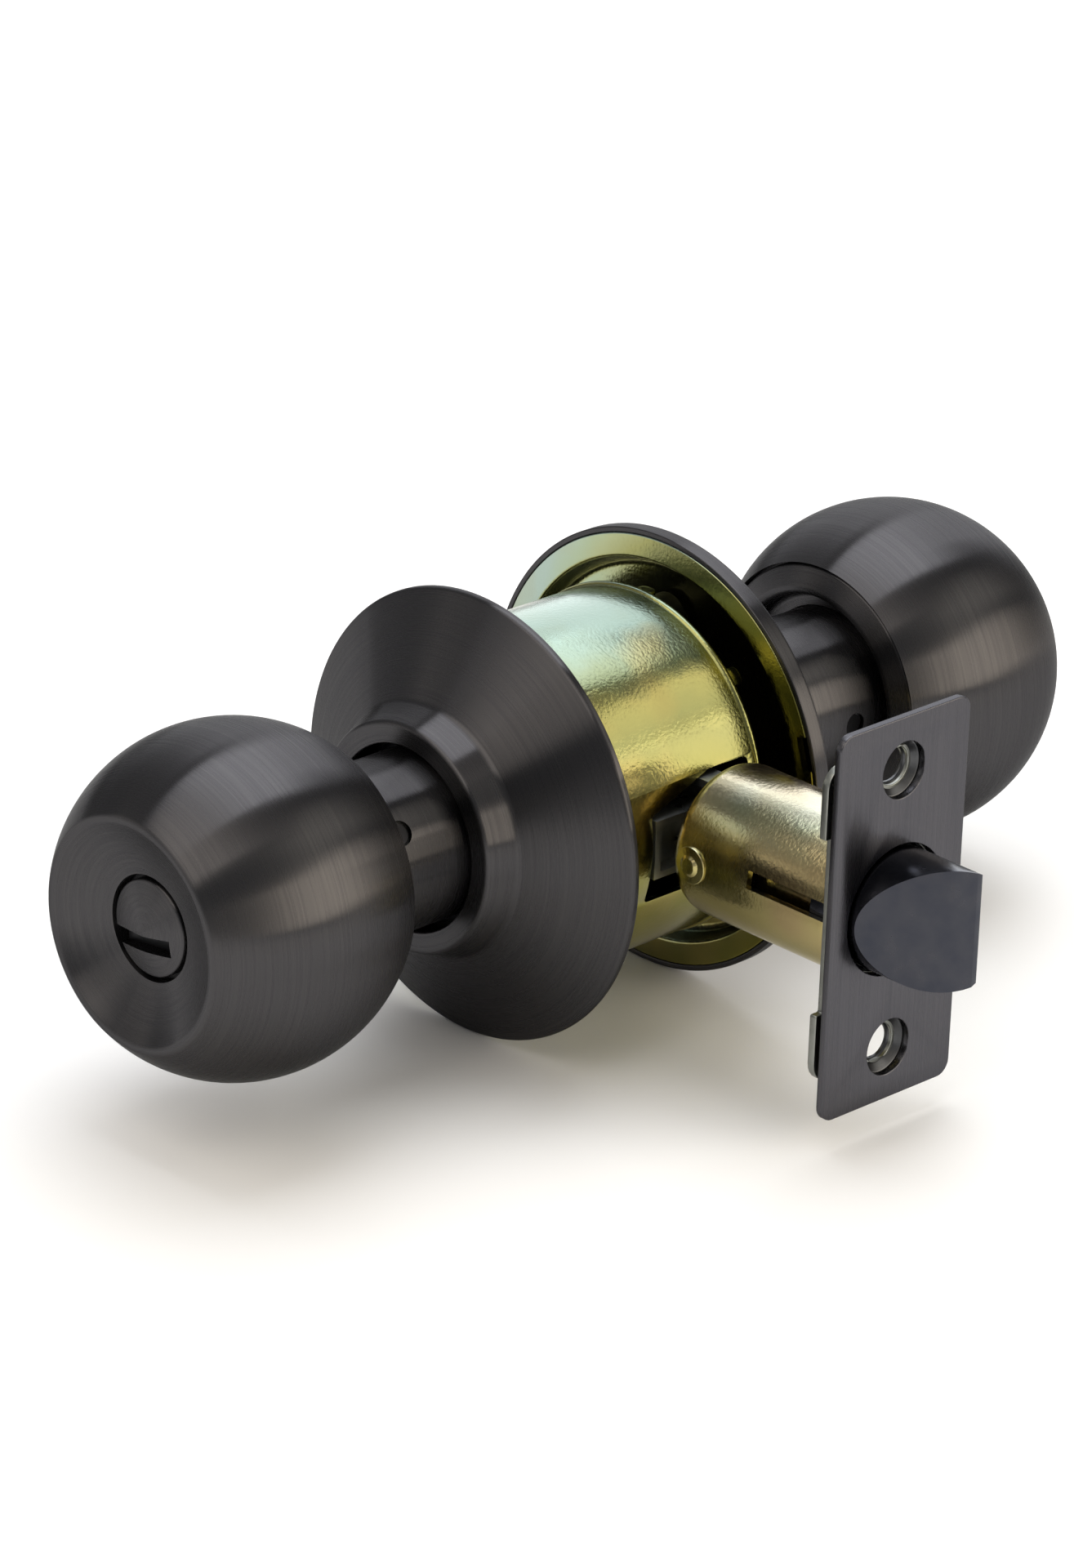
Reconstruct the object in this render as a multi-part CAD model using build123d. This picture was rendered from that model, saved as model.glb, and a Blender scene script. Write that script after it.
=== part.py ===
from build123d import *

# Bathroom knob lock: a bored privacy knobset with its latch, in millimetres.
# The origin is where the knobs' axis (Y) crosses the latch's axis (X).
# -Y is the outside of the door, +Y the inside, +X leads to the edge of the door and +Z is up.

import os
from dataclasses import dataclass
from math import sqrt

# Knobs
knob_radius = 24.9
knob_wall = 0.9
dish_rim_radius = 16.3
dish_floor_radius = 7.6
dish_depth = 3.9
dish_rim_round = 1.2
knob_lip_length = 3.0
knob_back_radius = 19.5
collar_gap = 0.4
collar_wall = 0.9
collar_edge_inset = 0.3
collar_nose_reach = 1.4
collar_nose_radius = 15.0
collar_seat_depth = 2.1
collar_edge_round = 0.5
collar_round = 1.0
recess_depth = 3.8

# Necks, spindles and hubs, from the middle outwards
spindle_bore = 10.4
spindle_radius = 11.4
running_gap = 0.1
hub_radius = 13.3
neck_radius = 12.4
neck_gap = 1.2
neck_into_knob = 6.0
neck_off_hub = 0.6
hub_below_lip = 4.9
spindle_off_knob = 16.0
flange_radius = 16.0
flange_thickness = 1.2
flange_gap = 0.2
web_thickness = 1.5

# Cam fingers of the spindles
finger_orbit = 14.0
finger_width = 2.6
finger_thickness = 1.4

# Knob catches
catch_hole_radius = 1.8
catch_nose_radius = 1.5
catch_nose_engage = 0.4
catch_leaf_radius = 8.2
catch_leaf_thickness = 1.0
catch_leaf_width = 5.0
catch_leaf_ahead = 3.0
catch_leaf_behind = 7.0

# Roses
rose_radius = 32.75
rose_wall = 0.8
rose_fold_radius = 19.2
rose_flange_height = 7.5
rose_lip_radius = 15.7
rose_hub_height = 5.0
rose_rim_round = 0.9
rose_rim_round_share = 0.9
rose_fold_round = 3.0
rose_lip_round = 1.3
sheet_fit = 0.05
liner_wall = 1.0
liner_below_hub = 0.8
liner_round = 1.2

# Chassis drum
drum_radius = 25.4
drum_wall = 1.0
drum_outer_end = -20.6
drum_inner_end = 10.0
drum_bead_radius = 0.7
end_plate_thickness = 1.6
end_plate_gap = 0.1
end_plate_recess = 0.5
tab_count = 8
tab_width = 2.8
tab_height = 1.7

# Latch window of the drum
window_outer_edge = -11.9
window_inner_edge = 7.6
window_bottom = -8.3
window_top = 8.7
window_corner = 5.0

# Mounting plate, its screws and the posts that take them
plate_wall = 1.0
plate_edge_width = 3.5
plate_step_run = 1.0
plate_step_depth = 3.2
plate_flare_round = 0.6
plate_step_round = 1.4
plate_hub_gap = 0.2
plate_notch_angle = 17.0
plate_notch_width = 5.0
plate_notch_depth = 1.8
post_orbit = 20.0
post_radius = 3.6
post_gap = 1.0
screw_radius = 1.9
screw_fit = 0.05
screw_hole_radius = 2.2
screw_head_radius = 3.7
screw_head_height = 1.7
screw_slot_width = 1.0
screw_slot_depth = 0.8

# Latch: tube, plates and bolt
backset = 60.3
faceplate_width = 25.4
faceplate_height = 57.0
faceplate_thickness = 1.2
faceplate_corner = 2.2
faceplate_gap = 0.8
faceplate_hole_spacing = 41.3
faceplate_hole_radius = 4.1
backing_thickness = 1.2
backing_height = 46.6
backing_waist = 22.4
backing_waist_height = 26.0
backing_corner = 3.0
backing_hole_radius = 2.5
dimple_wall = 1.0
tube_radius = 11.1
tube_wall = 1.0
tube_rear = 27.5
tube_shoulder = 2.5
tube_slot_low = 0.2
tube_slot_high = 2.8
tube_slot_start = 42.6
bolt_radius = 9.0
bolt_hole_gap = 0.5
bolt_throw = 12.1
bolt_flat = 4.05
bolt_bevel_start = 0.7
bolt_bevel_bulge = 1.0
bolt_tip_blunt = 0.5
bolt_tip_corner = 1.6
bolt_collar_length = 3.4
bolt_stop_gap = 0.3
bolt_rear_radius = 8.6
bolt_rear_length = 11.2
bolt_bore_radius = 5.2
bolt_bore_end = 57.0

# Prong bracket and rivets inside the latch tube
bracket_thickness = 1.2
bracket_fit = 0.1
bracket_hole_radius = 3.4
bracket_leg_width = 6.4
bracket_leg_length = 5.3
bracket_foot_inset = 0.6
prong_reach = 6.5
prong_width = 4.0
prong_height = 7.9
prong_thickness = 1.2
rivet_station = 32.0
rivet_shank_radius = 1.4
rivet_head_radius = 2.7
rivet_head_height = 0.7
rivet_dimple_radius = 2.0
rivet_dimple_depth = 0.5

# Latch tail
tail_width = 4.8
tail_thickness = 1.8
tail_head_width = 8.8
tail_head_height = 5.6
tail_head_length = 1.5
tail_play = 0.3

# Retractor
arm_face = -2.7
arm_thickness = 1.5
arm_reach = 16.0
arm_corner = 2.0
arm_outer_edge = -9.6
arm_inner_edge = 4.0
box_outer_face = -11.5
box_inner_face = 5.9
box_front = 25.5
box_half_height = 4.4
box_wall = 1.2
box_sheet = 1.0
box_rear = 8.0
slot_half_height = 3.0
slot_end = 14.8
claw_station = 22.0
claw_thickness = 1.4
claw_gap = 0.6
lug_thickness = 1.4
lug_reach = 13.4
lug_outer_edge = -4.2
lug_inner_edge = 3.4

# Retractor springs and their seat
spring_y = -0.4
spring_z = 10.0
spring_radius = 2.8
spring_wire = 0.8
spring_turns = 7
spring_end_gap = 0.1
spring_hole_radius = 3.6
seat_face = -19.0
seat_thickness = 1.2
seat_half_height = 13.4
seat_corner = 1.0
seat_stud_gap = 0.2
seat_stud_length = 1.5

# Latch spring
latch_spring_radius = 4.3
latch_spring_wire = 0.9
latch_spring_turns = 8

# Release turn of the outer knob
turn_radius = 6.9
turn_proud = 1.0
turn_thickness = 2.0
turn_slot_width = 2.0
turn_slot_depth = 1.2
turn_slot_end = 4.3
turn_slot_drop = 1.7
turn_slot_tilt = 7.0
turn_barrel_radius = 5.0
turn_barrel_end = 1.6
turn_housing_gap = 0.2
turn_housing_end = 3.0
clip_thickness = 0.6
clip_outer_radius = 6.6
clip_groove_depth = 0.5
clip_mouth = 5.0
release_rod_radius = 2.5
release_rod_end = 22.0
release_blade_length = 2.0
release_blade_thickness = 2.0
web_station = 25.0

# Push button of the inner knob
button_radius = 5.4
button_proud = 4.7
button_length = 8.2
button_round = 1.2
button_housing_end = 1.8
button_floor = 1.5
button_spring_radius = 3.6
button_spring_wire = 0.5
button_spring_turns = 4
housing_flange_radius = 9.0
housing_flange_thickness = 1.0
stem_radius = 2.0
plunger_radius = 9.8
plunger_thickness = 1.4
plunger_boss_radius = 4.0
plunger_boss_length = 1.0
plunger_station = 15.5

# Sizes that follow from the ones above
hub_bore = spindle_radius + running_gap
neck_bore = spindle_radius + running_gap
rose_hole_radius = neck_radius + neck_gap
drum_bore = drum_radius - drum_wall
end_plate_radius = drum_bore - end_plate_gap
dish_floor_station = sqrt(knob_radius**2 - dish_rim_radius**2) - dish_depth
knob_back_drop = sqrt(knob_radius**2 - knob_back_radius**2)
collar_seat_drop = knob_back_drop - collar_seat_depth
collar_seat_radius = sqrt((knob_radius - knob_wall) ** 2 - collar_seat_drop**2)
housing_radius = dish_floor_radius - sheet_fit
faceplate_back = backset - faceplate_thickness
backing_front = faceplate_back - faceplate_gap
backing_back = backing_front - backing_thickness
tube_bore = tube_radius - tube_wall
tube_floor = tube_rear + tube_wall
bolt_tip = backset + bolt_throw
bracket_face = tube_floor + bracket_thickness
button_back = dish_floor_station + button_proud - button_length


@dataclass(frozen=True)
class DoorSide:
    """One side of the door, with its stations measured from the latch's axis outwards."""

    outside: bool
    seat: float
    rim: float
    knob: float
    plate: float
    plate_front: float
    finger_end: float
    catch_off_knob: float
    catch_angle: float

    @property
    def catch(self) -> float:
        """Station of the knob's catch."""
        return self.knob - self.catch_off_knob

    @property
    def lip(self) -> float:
        """Station of the rose's lip round the neck."""
        return self.seat + self.rim + rose_flange_height + rose_hub_height

    @property
    def hub_end(self) -> float:
        """Station where the threaded hub ends inside the rose."""
        return self.lip - hub_below_lip

    def place(self, shape):
        """Put a shape that was built outwards along +Y on its own side of the door."""
        return mirror(shape, about=Plane.XZ) if self.outside else shape


outer = DoorSide(
    outside=True,
    seat=21.8,
    rim=1.0,
    knob=66.8,
    plate=-drum_outer_end - end_plate_thickness,
    plate_front=-drum_outer_end,
    finger_end=5.0,
    catch_off_knob=21.4,
    catch_angle=35.0,
)
inner = DoorSide(
    outside=False,
    seat=13.2,
    rim=2.6,
    knob=62.2,
    plate=drum_inner_end - end_plate_recess - end_plate_thickness,
    plate_front=drum_inner_end - end_plate_recess,
    finger_end=4.4,
    catch_off_knob=19.9,
    catch_angle=0.0,
)


# Shapes that many pieces share

def rod_y(radius, low, high):
    """Round bar about the knobs' axis between two stations."""
    return Pos(0, (low + high) / 2, 0) * Rot(90, 0, 0) * Cylinder(radius, high - low)


def tube_y(bore, radius, low, high):
    """Tube or washer about the knobs' axis between two stations."""
    return rod_y(radius, low, high) - rod_y(bore, low, high)


def rod_x(radius, low, high):
    """Round bar about the latch's axis between two stations."""
    return Pos((low + high) / 2, 0, 0) * Rot(0, 90, 0) * Cylinder(radius, high - low)


def tube_x(bore, radius, low, high):
    """Tube or washer about the latch's axis between two stations."""
    return rod_x(radius, low, high) - rod_x(bore, low, high)


def block(x, y, z):
    """Box between a low and a high limit on each axis."""
    centre = [(low + high) / 2 for low, high in (x, y, z)]
    size = [high - low for low, high in (x, y, z)]
    return Pos(*centre) * Box(*size)


def around_y(angle, shape):
    """Turn a shape about the knobs' axis, from +X towards +Z."""
    return Rot(0, -angle, 0) * shape


def spun_sheet(points, rounds, thickness, side):
    """Sheet metal turned about Y: points are radius and station along its shown face."""
    shown_face = FilletPolyline(*points, radius=rounds)
    section = make_face(offset(shown_face, thickness, side=side, closed=True))
    return revolve(section, Axis.Y)


def coil(start, direction, length, radius, wire, turns):
    """Compression spring of round wire, as long as the gap that it fills."""
    height = length - wire
    begin = Vector(start) + Vector(direction) * (wire / 2)
    path = Helix(height / turns, height, radius, center=begin, direction=direction)
    section = Plane(origin=path @ 0, z_dir=path % 0) * Circle(wire / 2)
    return sweep(section, path=path, is_frenet=True)


# Knobs and what turns with them

def knob(side):
    """Spun hollow ball with a dished face, a turned-in lip and an open back."""
    rim_station = sqrt(knob_radius**2 - dish_rim_radius**2)
    rise = rim_station - dish_floor_station
    spread = dish_rim_radius**2 - dish_floor_radius**2
    dish_centre = spread / (2 * rise) + (rim_station + dish_floor_station) / 2
    dish_radius = sqrt(dish_floor_radius**2 + (dish_centre - dish_floor_station) ** 2)
    ball = Circle(knob_radius) - Pos(0, dish_centre) * Circle(dish_radius)
    ball = fillet(ball.vertices(), dish_rim_round)
    cavity = offset(ball, -knob_wall)
    half = Pos(knob_radius, 0) * Rectangle(2 * knob_radius, 4 * knob_radius)
    shell = revolve((ball - cavity) & half, Axis.Y)
    shell -= rod_y(dish_floor_radius, 0, knob_radius)
    shell -= rod_y(knob_back_radius, -knob_radius, 0)
    lip_start = dish_floor_station - knob_lip_length
    shell += tube_y(dish_floor_radius, dish_floor_radius + knob_wall, lip_start, dish_floor_station)
    return side.place(Pos(0, side.knob, 0) * shell)


def knob_collar(side):
    """Formed ring that closes the knob's back and carries the knob on its neck."""
    edge = knob_back_radius - collar_gap
    nose_drop = knob_back_drop + collar_nose_reach
    recess_radius = collar_nose_radius - collar_wall / 2
    recess_floor = recess_depth - nose_drop
    points = [
        (collar_seat_radius, -collar_seat_drop),
        (edge, -collar_seat_drop),
        (edge, collar_edge_inset - knob_back_drop),
        (collar_nose_radius, -nose_drop),
        (recess_radius, recess_floor),
        (neck_radius, recess_floor),
    ]
    rounds = [0.0, collar_edge_round, collar_round, collar_round]
    sheet = spun_sheet(points, rounds, collar_wall, Side.RIGHT)
    return side.place(Pos(0, side.knob, 0) * sheet)


def knob_neck(side):
    """Tube between rose and knob, with the round hole that the catch snaps into."""
    tube = tube_y(neck_bore, neck_radius, side.hub_end + neck_off_hub, side.knob - neck_into_knob)
    hole = Pos(neck_radius, side.catch, 0) * Rot(0, 90, 0)
    hole = hole * Cylinder(catch_hole_radius, neck_radius)
    return side.place(tube - around_y(side.catch_angle, hole))


def spindle(side, flange_bore, has_web):
    """Drawn tube that carries a knob, with a flange and two cam fingers inside the drum."""
    flange_back = side.plate - flange_gap
    flange_front = flange_back - flange_thickness
    body = tube_y(spindle_bore, spindle_radius, flange_front, side.knob - spindle_off_knob)
    body += tube_y(flange_bore, flange_radius, flange_front, flange_back)
    if has_web:
        web = (web_station, web_station + web_thickness)
        body += tube_y(release_rod_radius + running_gap, spindle_bore + sheet_fit, *web)
    for end in (-1, 1):
        middle = end * finger_orbit
        body += block(
            (-finger_width / 2, finger_width / 2),
            (side.finger_end, flange_front),
            (middle - finger_thickness / 2, middle + finger_thickness / 2),
        )
    hole = Pos(spindle_radius, side.catch, 0) * Rot(0, 90, 0)
    hole = hole * Cylinder(catch_nose_radius + running_gap, spindle_radius)
    return side.place(body - around_y(side.catch_angle, hole))


def knob_catch(side):
    """Spring leaf with a nose that holds the knob on its spindle."""
    nose_tip = neck_bore + catch_nose_engage
    leaf_top = catch_leaf_radius + catch_leaf_thickness
    leaf = block(
        (catch_leaf_radius, leaf_top),
        (side.catch - catch_leaf_behind, side.catch + catch_leaf_ahead),
        (-catch_leaf_width / 2, catch_leaf_width / 2),
    )
    nose_length = nose_tip - catch_leaf_radius
    nose = Pos(catch_leaf_radius + nose_length / 2, side.catch, 0) * Rot(0, 90, 0)
    nose = nose * Cylinder(catch_nose_radius, nose_length)
    return side.place(around_y(side.catch_angle, leaf + nose))


# Slotted release turn of the outer knob

def release_turn():
    """Disc with a coin slot, and the barrel that turns in the housing."""
    rim = dish_floor_station
    back = rim - turn_thickness
    profile = Polyline(
        (0, back),
        (turn_radius, back),
        (turn_radius, rim),
        (0, rim + turn_proud),
        close=True,
    )
    turn = revolve(make_face(profile), Axis.Y)
    turn += rod_y(turn_barrel_radius, turn_barrel_end, back)
    groove = (turn_housing_end - turn_housing_gap - clip_thickness, turn_housing_end - turn_housing_gap)
    groove_bore = turn_barrel_radius - clip_groove_depth
    turn -= tube_y(groove_bore, turn_radius, *groove)
    slot = block(
        (-2 * turn_radius, turn_slot_end),
        (rim - turn_slot_depth, rim + 2 * turn_proud),
        (-turn_slot_width / 2, turn_slot_width / 2),
    )
    turn -= around_y(turn_slot_tilt, Pos(0, 0, -turn_slot_drop) * slot)
    return outer.place(Pos(0, outer.knob, 0) * turn)


def release_housing():
    """Bush held in the lip of the outer knob, in which the release turn runs."""
    front = dish_floor_station - turn_thickness - turn_housing_gap
    bush = tube_y(turn_barrel_radius + running_gap, housing_radius, turn_housing_end, front)
    flange_front = dish_floor_station - knob_lip_length
    flange = (flange_front - housing_flange_thickness, flange_front)
    bush += tube_y(turn_barrel_radius + running_gap, housing_flange_radius, *flange)
    return outer.place(Pos(0, outer.knob, 0) * bush)


def release_clip():
    """Open retaining ring in the groove behind the release housing."""
    high = turn_housing_end - turn_housing_gap
    low = high - clip_thickness
    ring = tube_y(turn_barrel_radius - clip_groove_depth, clip_outer_radius, low, high)
    mouth = block((0, 2 * clip_outer_radius), (low, high), (-clip_mouth / 2, clip_mouth / 2))
    return outer.place(Pos(0, outer.knob, 0) * (ring - mouth))


def release_spindle():
    """Rod from the release turn to the middle of the lock, with a blade at its end."""
    blade_start = release_rod_end + release_blade_length
    rod = rod_y(release_rod_radius, blade_start, outer.knob + turn_barrel_end)
    half_thickness = release_blade_thickness / 2
    half_width = sqrt(release_rod_radius**2 - half_thickness**2)
    rod += block(
        (-half_width, half_width),
        (release_rod_end, blade_start),
        (-half_thickness, half_thickness),
    )
    return outer.place(rod)


# Push button of the inner knob

def push_button():
    """Round-edged cap that is pushed to lock the outer knob."""
    front = dish_floor_station + button_proud
    cap = rod_y(button_radius, button_back, front)
    cap = fillet(cap.edges().sort_by(Axis.Y)[-1], button_round)
    return inner.place(Pos(0, inner.knob, 0) * cap)


def button_housing():
    """Cup in the lip of the inner knob, in which the push button slides."""
    floor_top = button_housing_end + button_floor
    cup = tube_y(button_radius + running_gap, housing_radius, floor_top, dish_floor_station)
    cup += tube_y(stem_radius + running_gap, housing_radius, button_housing_end, floor_top)
    flange_front = dish_floor_station - knob_lip_length
    flange = (flange_front - housing_flange_thickness, flange_front)
    cup += tube_y(button_radius + running_gap, housing_flange_radius, *flange)
    return inner.place(Pos(0, inner.knob, 0) * cup)


def button_spring():
    """Spring that brings the push button back."""
    low = button_housing_end + button_floor + spring_end_gap
    length = button_back - spring_end_gap - low
    sizes = (button_spring_radius, button_spring_wire, button_spring_turns)
    return inner.place(Pos(0, inner.knob, 0) * coil((0, low, 0), (0, 1, 0), length, *sizes))


def button_stem():
    """Long rod from the push button through both spindles to the plunger."""
    return rod_y(stem_radius, -plunger_station + plunger_thickness, inner.knob + button_back)


def locking_plunger():
    """Disc at the end of the stem that slides into the outer spindle and locks it."""
    back = -plunger_station
    front = back + plunger_thickness
    disc = rod_y(plunger_radius, back, front)
    return disc + tube_y(stem_radius, plunger_boss_radius, front, front + plunger_boss_length)


# Roses, plates and drum

def rose(side):
    """Spun sheet cover: thin rim, conical flange, fold and a short hub with a flat lip."""
    fold_height = side.rim + rose_flange_height
    lip_height = fold_height + rose_hub_height
    points = [
        (rose_radius, 0),
        (rose_radius, side.rim),
        (rose_fold_radius, fold_height),
        (rose_lip_radius, lip_height),
        (rose_hole_radius, lip_height),
    ]
    rim_round = min(rose_rim_round, rose_rim_round_share * side.rim)
    sheet = spun_sheet(points, [rim_round, rose_fold_round, rose_lip_round], rose_wall, Side.LEFT)
    return side.place(Pos(0, side.seat, 0) * sheet)


def rose_liner():
    """Plate that carries the outer rose and turns on the thread of the outer hub."""
    bore = hub_radius + sheet_fit
    slope = rose_flange_height / (rose_radius - rose_fold_radius)
    under_flange = liner_wall + sheet_fit + rose_wall * sqrt(1 + slope**2) - outer.rim
    points = [
        (rose_radius - under_flange / slope, 0),
        (bore, 0),
        (bore, outer.hub_end - outer.seat - liner_below_hub),
    ]
    sheet = spun_sheet(points, [liner_round], liner_wall, Side.RIGHT)
    return outer.place(Pos(0, outer.seat, 0) * sheet)


def end_plate(side):
    """Disc that closes one end of the drum, with the hub that the spindle turns in."""
    disc = tube_y(hub_bore, end_plate_radius, side.plate, side.plate_front)
    return disc + tube_y(hub_bore, hub_radius, side.plate, side.hub_end)


def outer_end_plate():
    """End plate on the outside of the door."""
    return outer.place(end_plate(outer))


def inner_end_plate():
    """End plate on the inside of the door, with the posts for the mounting screws."""
    body = end_plate(inner)
    post_end = inner.seat + plate_step_depth - post_gap
    for end in (-1, 1):
        post = Pos(0, 0, end * post_orbit) * rod_y(post_radius, inner.plate, post_end)
        bore = Pos(0, 0, end * post_orbit) * rod_y(screw_radius + screw_fit, inner.plate, post_end)
        body = body + post - bore
    return body


def chassis_drum():
    """Drawn drum with a rolled far rim, staking tabs and the window for the latch."""
    drum = tube_y(drum_bore, drum_radius, drum_outer_end, drum_inner_end)
    bead_centre = (drum_radius - drum_bead_radius / 2, drum_inner_end - drum_bead_radius)
    drum += revolve(Pos(*bead_centre) * Circle(drum_bead_radius), Axis.Y)
    drum -= rod_y(drum_bore, drum_outer_end, drum_inner_end)
    tab_ring = tube_y(drum_bore, drum_radius, drum_inner_end - drum_wall, drum_inner_end + tab_height)
    for index in range(tab_count):
        strip = block(
            (0, 2 * drum_radius),
            (drum_inner_end - drum_wall, drum_inner_end + tab_height),
            (-tab_width / 2, tab_width / 2),
        )
        drum += tab_ring & around_y(360 * index / tab_count, strip)
    window = Polyline(
        (window_outer_edge, window_bottom),
        (window_inner_edge, window_bottom),
        (window_inner_edge, window_top),
        (0, window_top),
        (window_outer_edge, window_corner),
        close=True,
    )
    return drum - extrude(Plane.YZ * make_face(window), 2 * drum_radius)


def mounting_plate():
    """Dished plate that clamps the door, with a stepped middle and two notches in its rim."""
    radius = rose_radius - rose_wall - sheet_fit
    step_radius = radius - plate_edge_width
    points = [
        (radius, 0),
        (step_radius, 0),
        (step_radius - plate_step_run, plate_step_depth),
        (hub_radius + plate_hub_gap, plate_step_depth),
    ]
    rounds = [plate_flare_round, plate_step_round]
    plate = Pos(0, inner.seat, 0) * spun_sheet(points, rounds, plate_wall, Side.RIGHT)
    reach = inner.seat + plate_step_depth + 2 * plate_wall
    for end in (-1, 1):
        plate -= Pos(0, 0, end * post_orbit) * rod_y(screw_hole_radius, inner.seat, reach)
    notch = block(
        (radius - plate_notch_depth, radius + plate_wall),
        (inner.seat - plate_wall, reach),
        (-plate_notch_width / 2, plate_notch_width / 2),
    )
    for half_turn in (0, 180):
        plate -= around_y(plate_notch_angle + half_turn, notch)
    return plate


def mounting_screws():
    """The two slotted pan-head screws that pull the mounting plate against the door."""
    under_head = inner.seat + plate_step_depth + plate_wall
    top = under_head + screw_head_height
    head = rod_y(screw_head_radius, under_head, top)
    head = fillet(head.edges().sort_by(Axis.Y)[-1], screw_head_height / 2)
    slot = block(
        (-screw_head_radius, screw_head_radius),
        (top - screw_slot_depth, top + screw_slot_depth),
        (-screw_slot_width / 2, screw_slot_width / 2),
    )
    screw = head - slot + rod_y(screw_radius, inner.plate, under_head)
    return Compound([Pos(0, 0, end * post_orbit) * screw for end in (-1, 1)])


# Retractor inside the drum

def spring_seat():
    """Plate at the drum's back wall that the retractor springs push on."""
    seat = block(
        (seat_face - seat_thickness, seat_face),
        (arm_outer_edge, arm_inner_edge),
        (-seat_half_height, seat_half_height),
    )
    seat = fillet(seat.edges().filter_by(Axis.X), seat_corner)
    stud_radius = spring_radius - spring_wire / 2 - seat_stud_gap
    stud = rod_x(stud_radius, seat_face, seat_face + seat_stud_length)
    for end in (-1, 1):
        seat += Pos(0, spring_y, end * spring_z) * stud
    return seat


def retractor():
    """Folded slide: a cross-shaped arm plate, a slotted box and the claws that pull the tail."""
    arm_back = arm_face - arm_thickness
    arms = block((arm_back, arm_face), (arm_outer_edge, arm_inner_edge), (-arm_reach, arm_reach))
    arms = fillet(arms.edges().filter_by(Axis.X), arm_corner)
    height = (-box_half_height, box_half_height)
    body = arms + block((arm_back, arm_face), (box_outer_face, box_inner_face), height)
    for end in (-1, 1):
        body -= Pos(0, spring_y, end * spring_z) * rod_x(spring_hole_radius, arm_back, arm_face)
    outer_wall = (box_outer_face, box_outer_face + box_wall)
    inner_wall = (box_inner_face - box_wall, box_inner_face)
    for wall in (outer_wall, inner_wall):
        body += block((arm_back, box_front), wall, height)
        body -= block((arm_face, slot_end), wall, (-slot_half_height, slot_half_height))
    ceiling = box_half_height - box_sheet
    for end in (-1, 1):
        leaf = sorted((end * ceiling, end * box_half_height))
        body += block((box_rear, box_front), (box_outer_face, box_inner_face), leaf)
        lug = sorted((end * ceiling, end * lug_reach))
        body += block((box_rear, box_rear + lug_thickness), (lug_outer_edge, lug_inner_edge), lug)
    claw = (claw_station, claw_station + claw_thickness)
    claw_edge = tail_width / 2 + claw_gap
    body += block(claw, (box_outer_face, -claw_edge), height)
    body += block(claw, (claw_edge, box_inner_face), height)
    return body


def retractor_spring(end):
    """One of the two springs that push the retractor towards the latch."""
    start = (seat_face + spring_end_gap, spring_y, end * spring_z)
    length = box_rear - spring_end_gap - start[0]
    return coil(start, (1, 0, 0), length, spring_radius, spring_wire, spring_turns)


# Latch

def faceplate():
    """Plate in the edge of the door, with the round bolt hole and two screw holes."""
    sketch = RectangleRounded(faceplate_width, faceplate_height, faceplate_corner)
    sketch -= Circle(bolt_radius + bolt_hole_gap)
    for end in (-1, 1):
        sketch -= Pos(0, end * faceplate_hole_spacing / 2) * Circle(faceplate_hole_radius)
    return Pos(faceplate_back, 0, 0) * extrude(Plane.YZ * sketch, faceplate_thickness)


def backing_plate():
    """Waisted plate behind the faceplate, with dimples that seat the wood screws."""
    sketch = RectangleRounded(faceplate_width, backing_height, backing_corner)
    waist_cut = (faceplate_width - backing_waist) / 2
    for end in (-1, 1):
        notch = Rectangle(2 * waist_cut, backing_waist_height)
        sketch -= Pos(end * faceplate_width / 2, 0) * notch
    sketch -= Circle(bolt_radius + bolt_hole_gap)
    plate = Pos(backing_back, 0, 0) * extrude(Plane.YZ * sketch, backing_thickness)
    rise = faceplate_back - backing_front
    wide = faceplate_hole_radius + dimple_wall
    cone_start = faceplate_back - (faceplate_hole_radius - backing_hole_radius)
    for end in (-1, 1):
        hole = Pos(0, 0, end * faceplate_hole_spacing / 2)
        boss = Pos(backing_front + rise / 2, 0, 0) * Rot(0, 90, 0) * Cone(wide - rise / 2, wide, rise)
        depth = faceplate_back - cone_start
        sink = Pos(cone_start + depth / 2, 0, 0) * Rot(0, 90, 0)
        sink = sink * Cone(backing_hole_radius, faceplate_hole_radius, depth)
        plate += hole * boss
        plate -= hole * sink
        plate -= hole * rod_x(backing_hole_radius, backing_back, faceplate_back)
    return plate


def latch_tube():
    """Drawn cup round the latch, with a rounded rear shoulder, a slot and rivet holes."""
    outside = rod_x(tube_radius, tube_rear, backing_back)
    outside = fillet(outside.edges().sort_by(Axis.X)[0], tube_shoulder)
    inside = rod_x(tube_bore, tube_floor, backing_back)
    inside = fillet(inside.edges().sort_by(Axis.X)[0], tube_shoulder - tube_wall)
    tube = outside - inside - rod_x(bracket_hole_radius, tube_rear, tube_floor)
    tube -= block(
        (tube_slot_start, backing_back),
        (-tube_radius, 0),
        (tube_slot_low, tube_slot_high),
    )
    tube -= Pos(rivet_station, 0, 0) * rod_y(rivet_shank_radius, -tube_radius, tube_radius)
    for end in (-1, 1):
        middle = end * (prong_height - prong_thickness / 2)
        half = prong_thickness / 2 + bracket_fit
        tube -= block(
            (tube_rear, tube_floor),
            (-prong_width / 2 - bracket_fit, prong_width / 2 + bracket_fit),
            (middle - half, middle + half),
        )
    return tube


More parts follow.
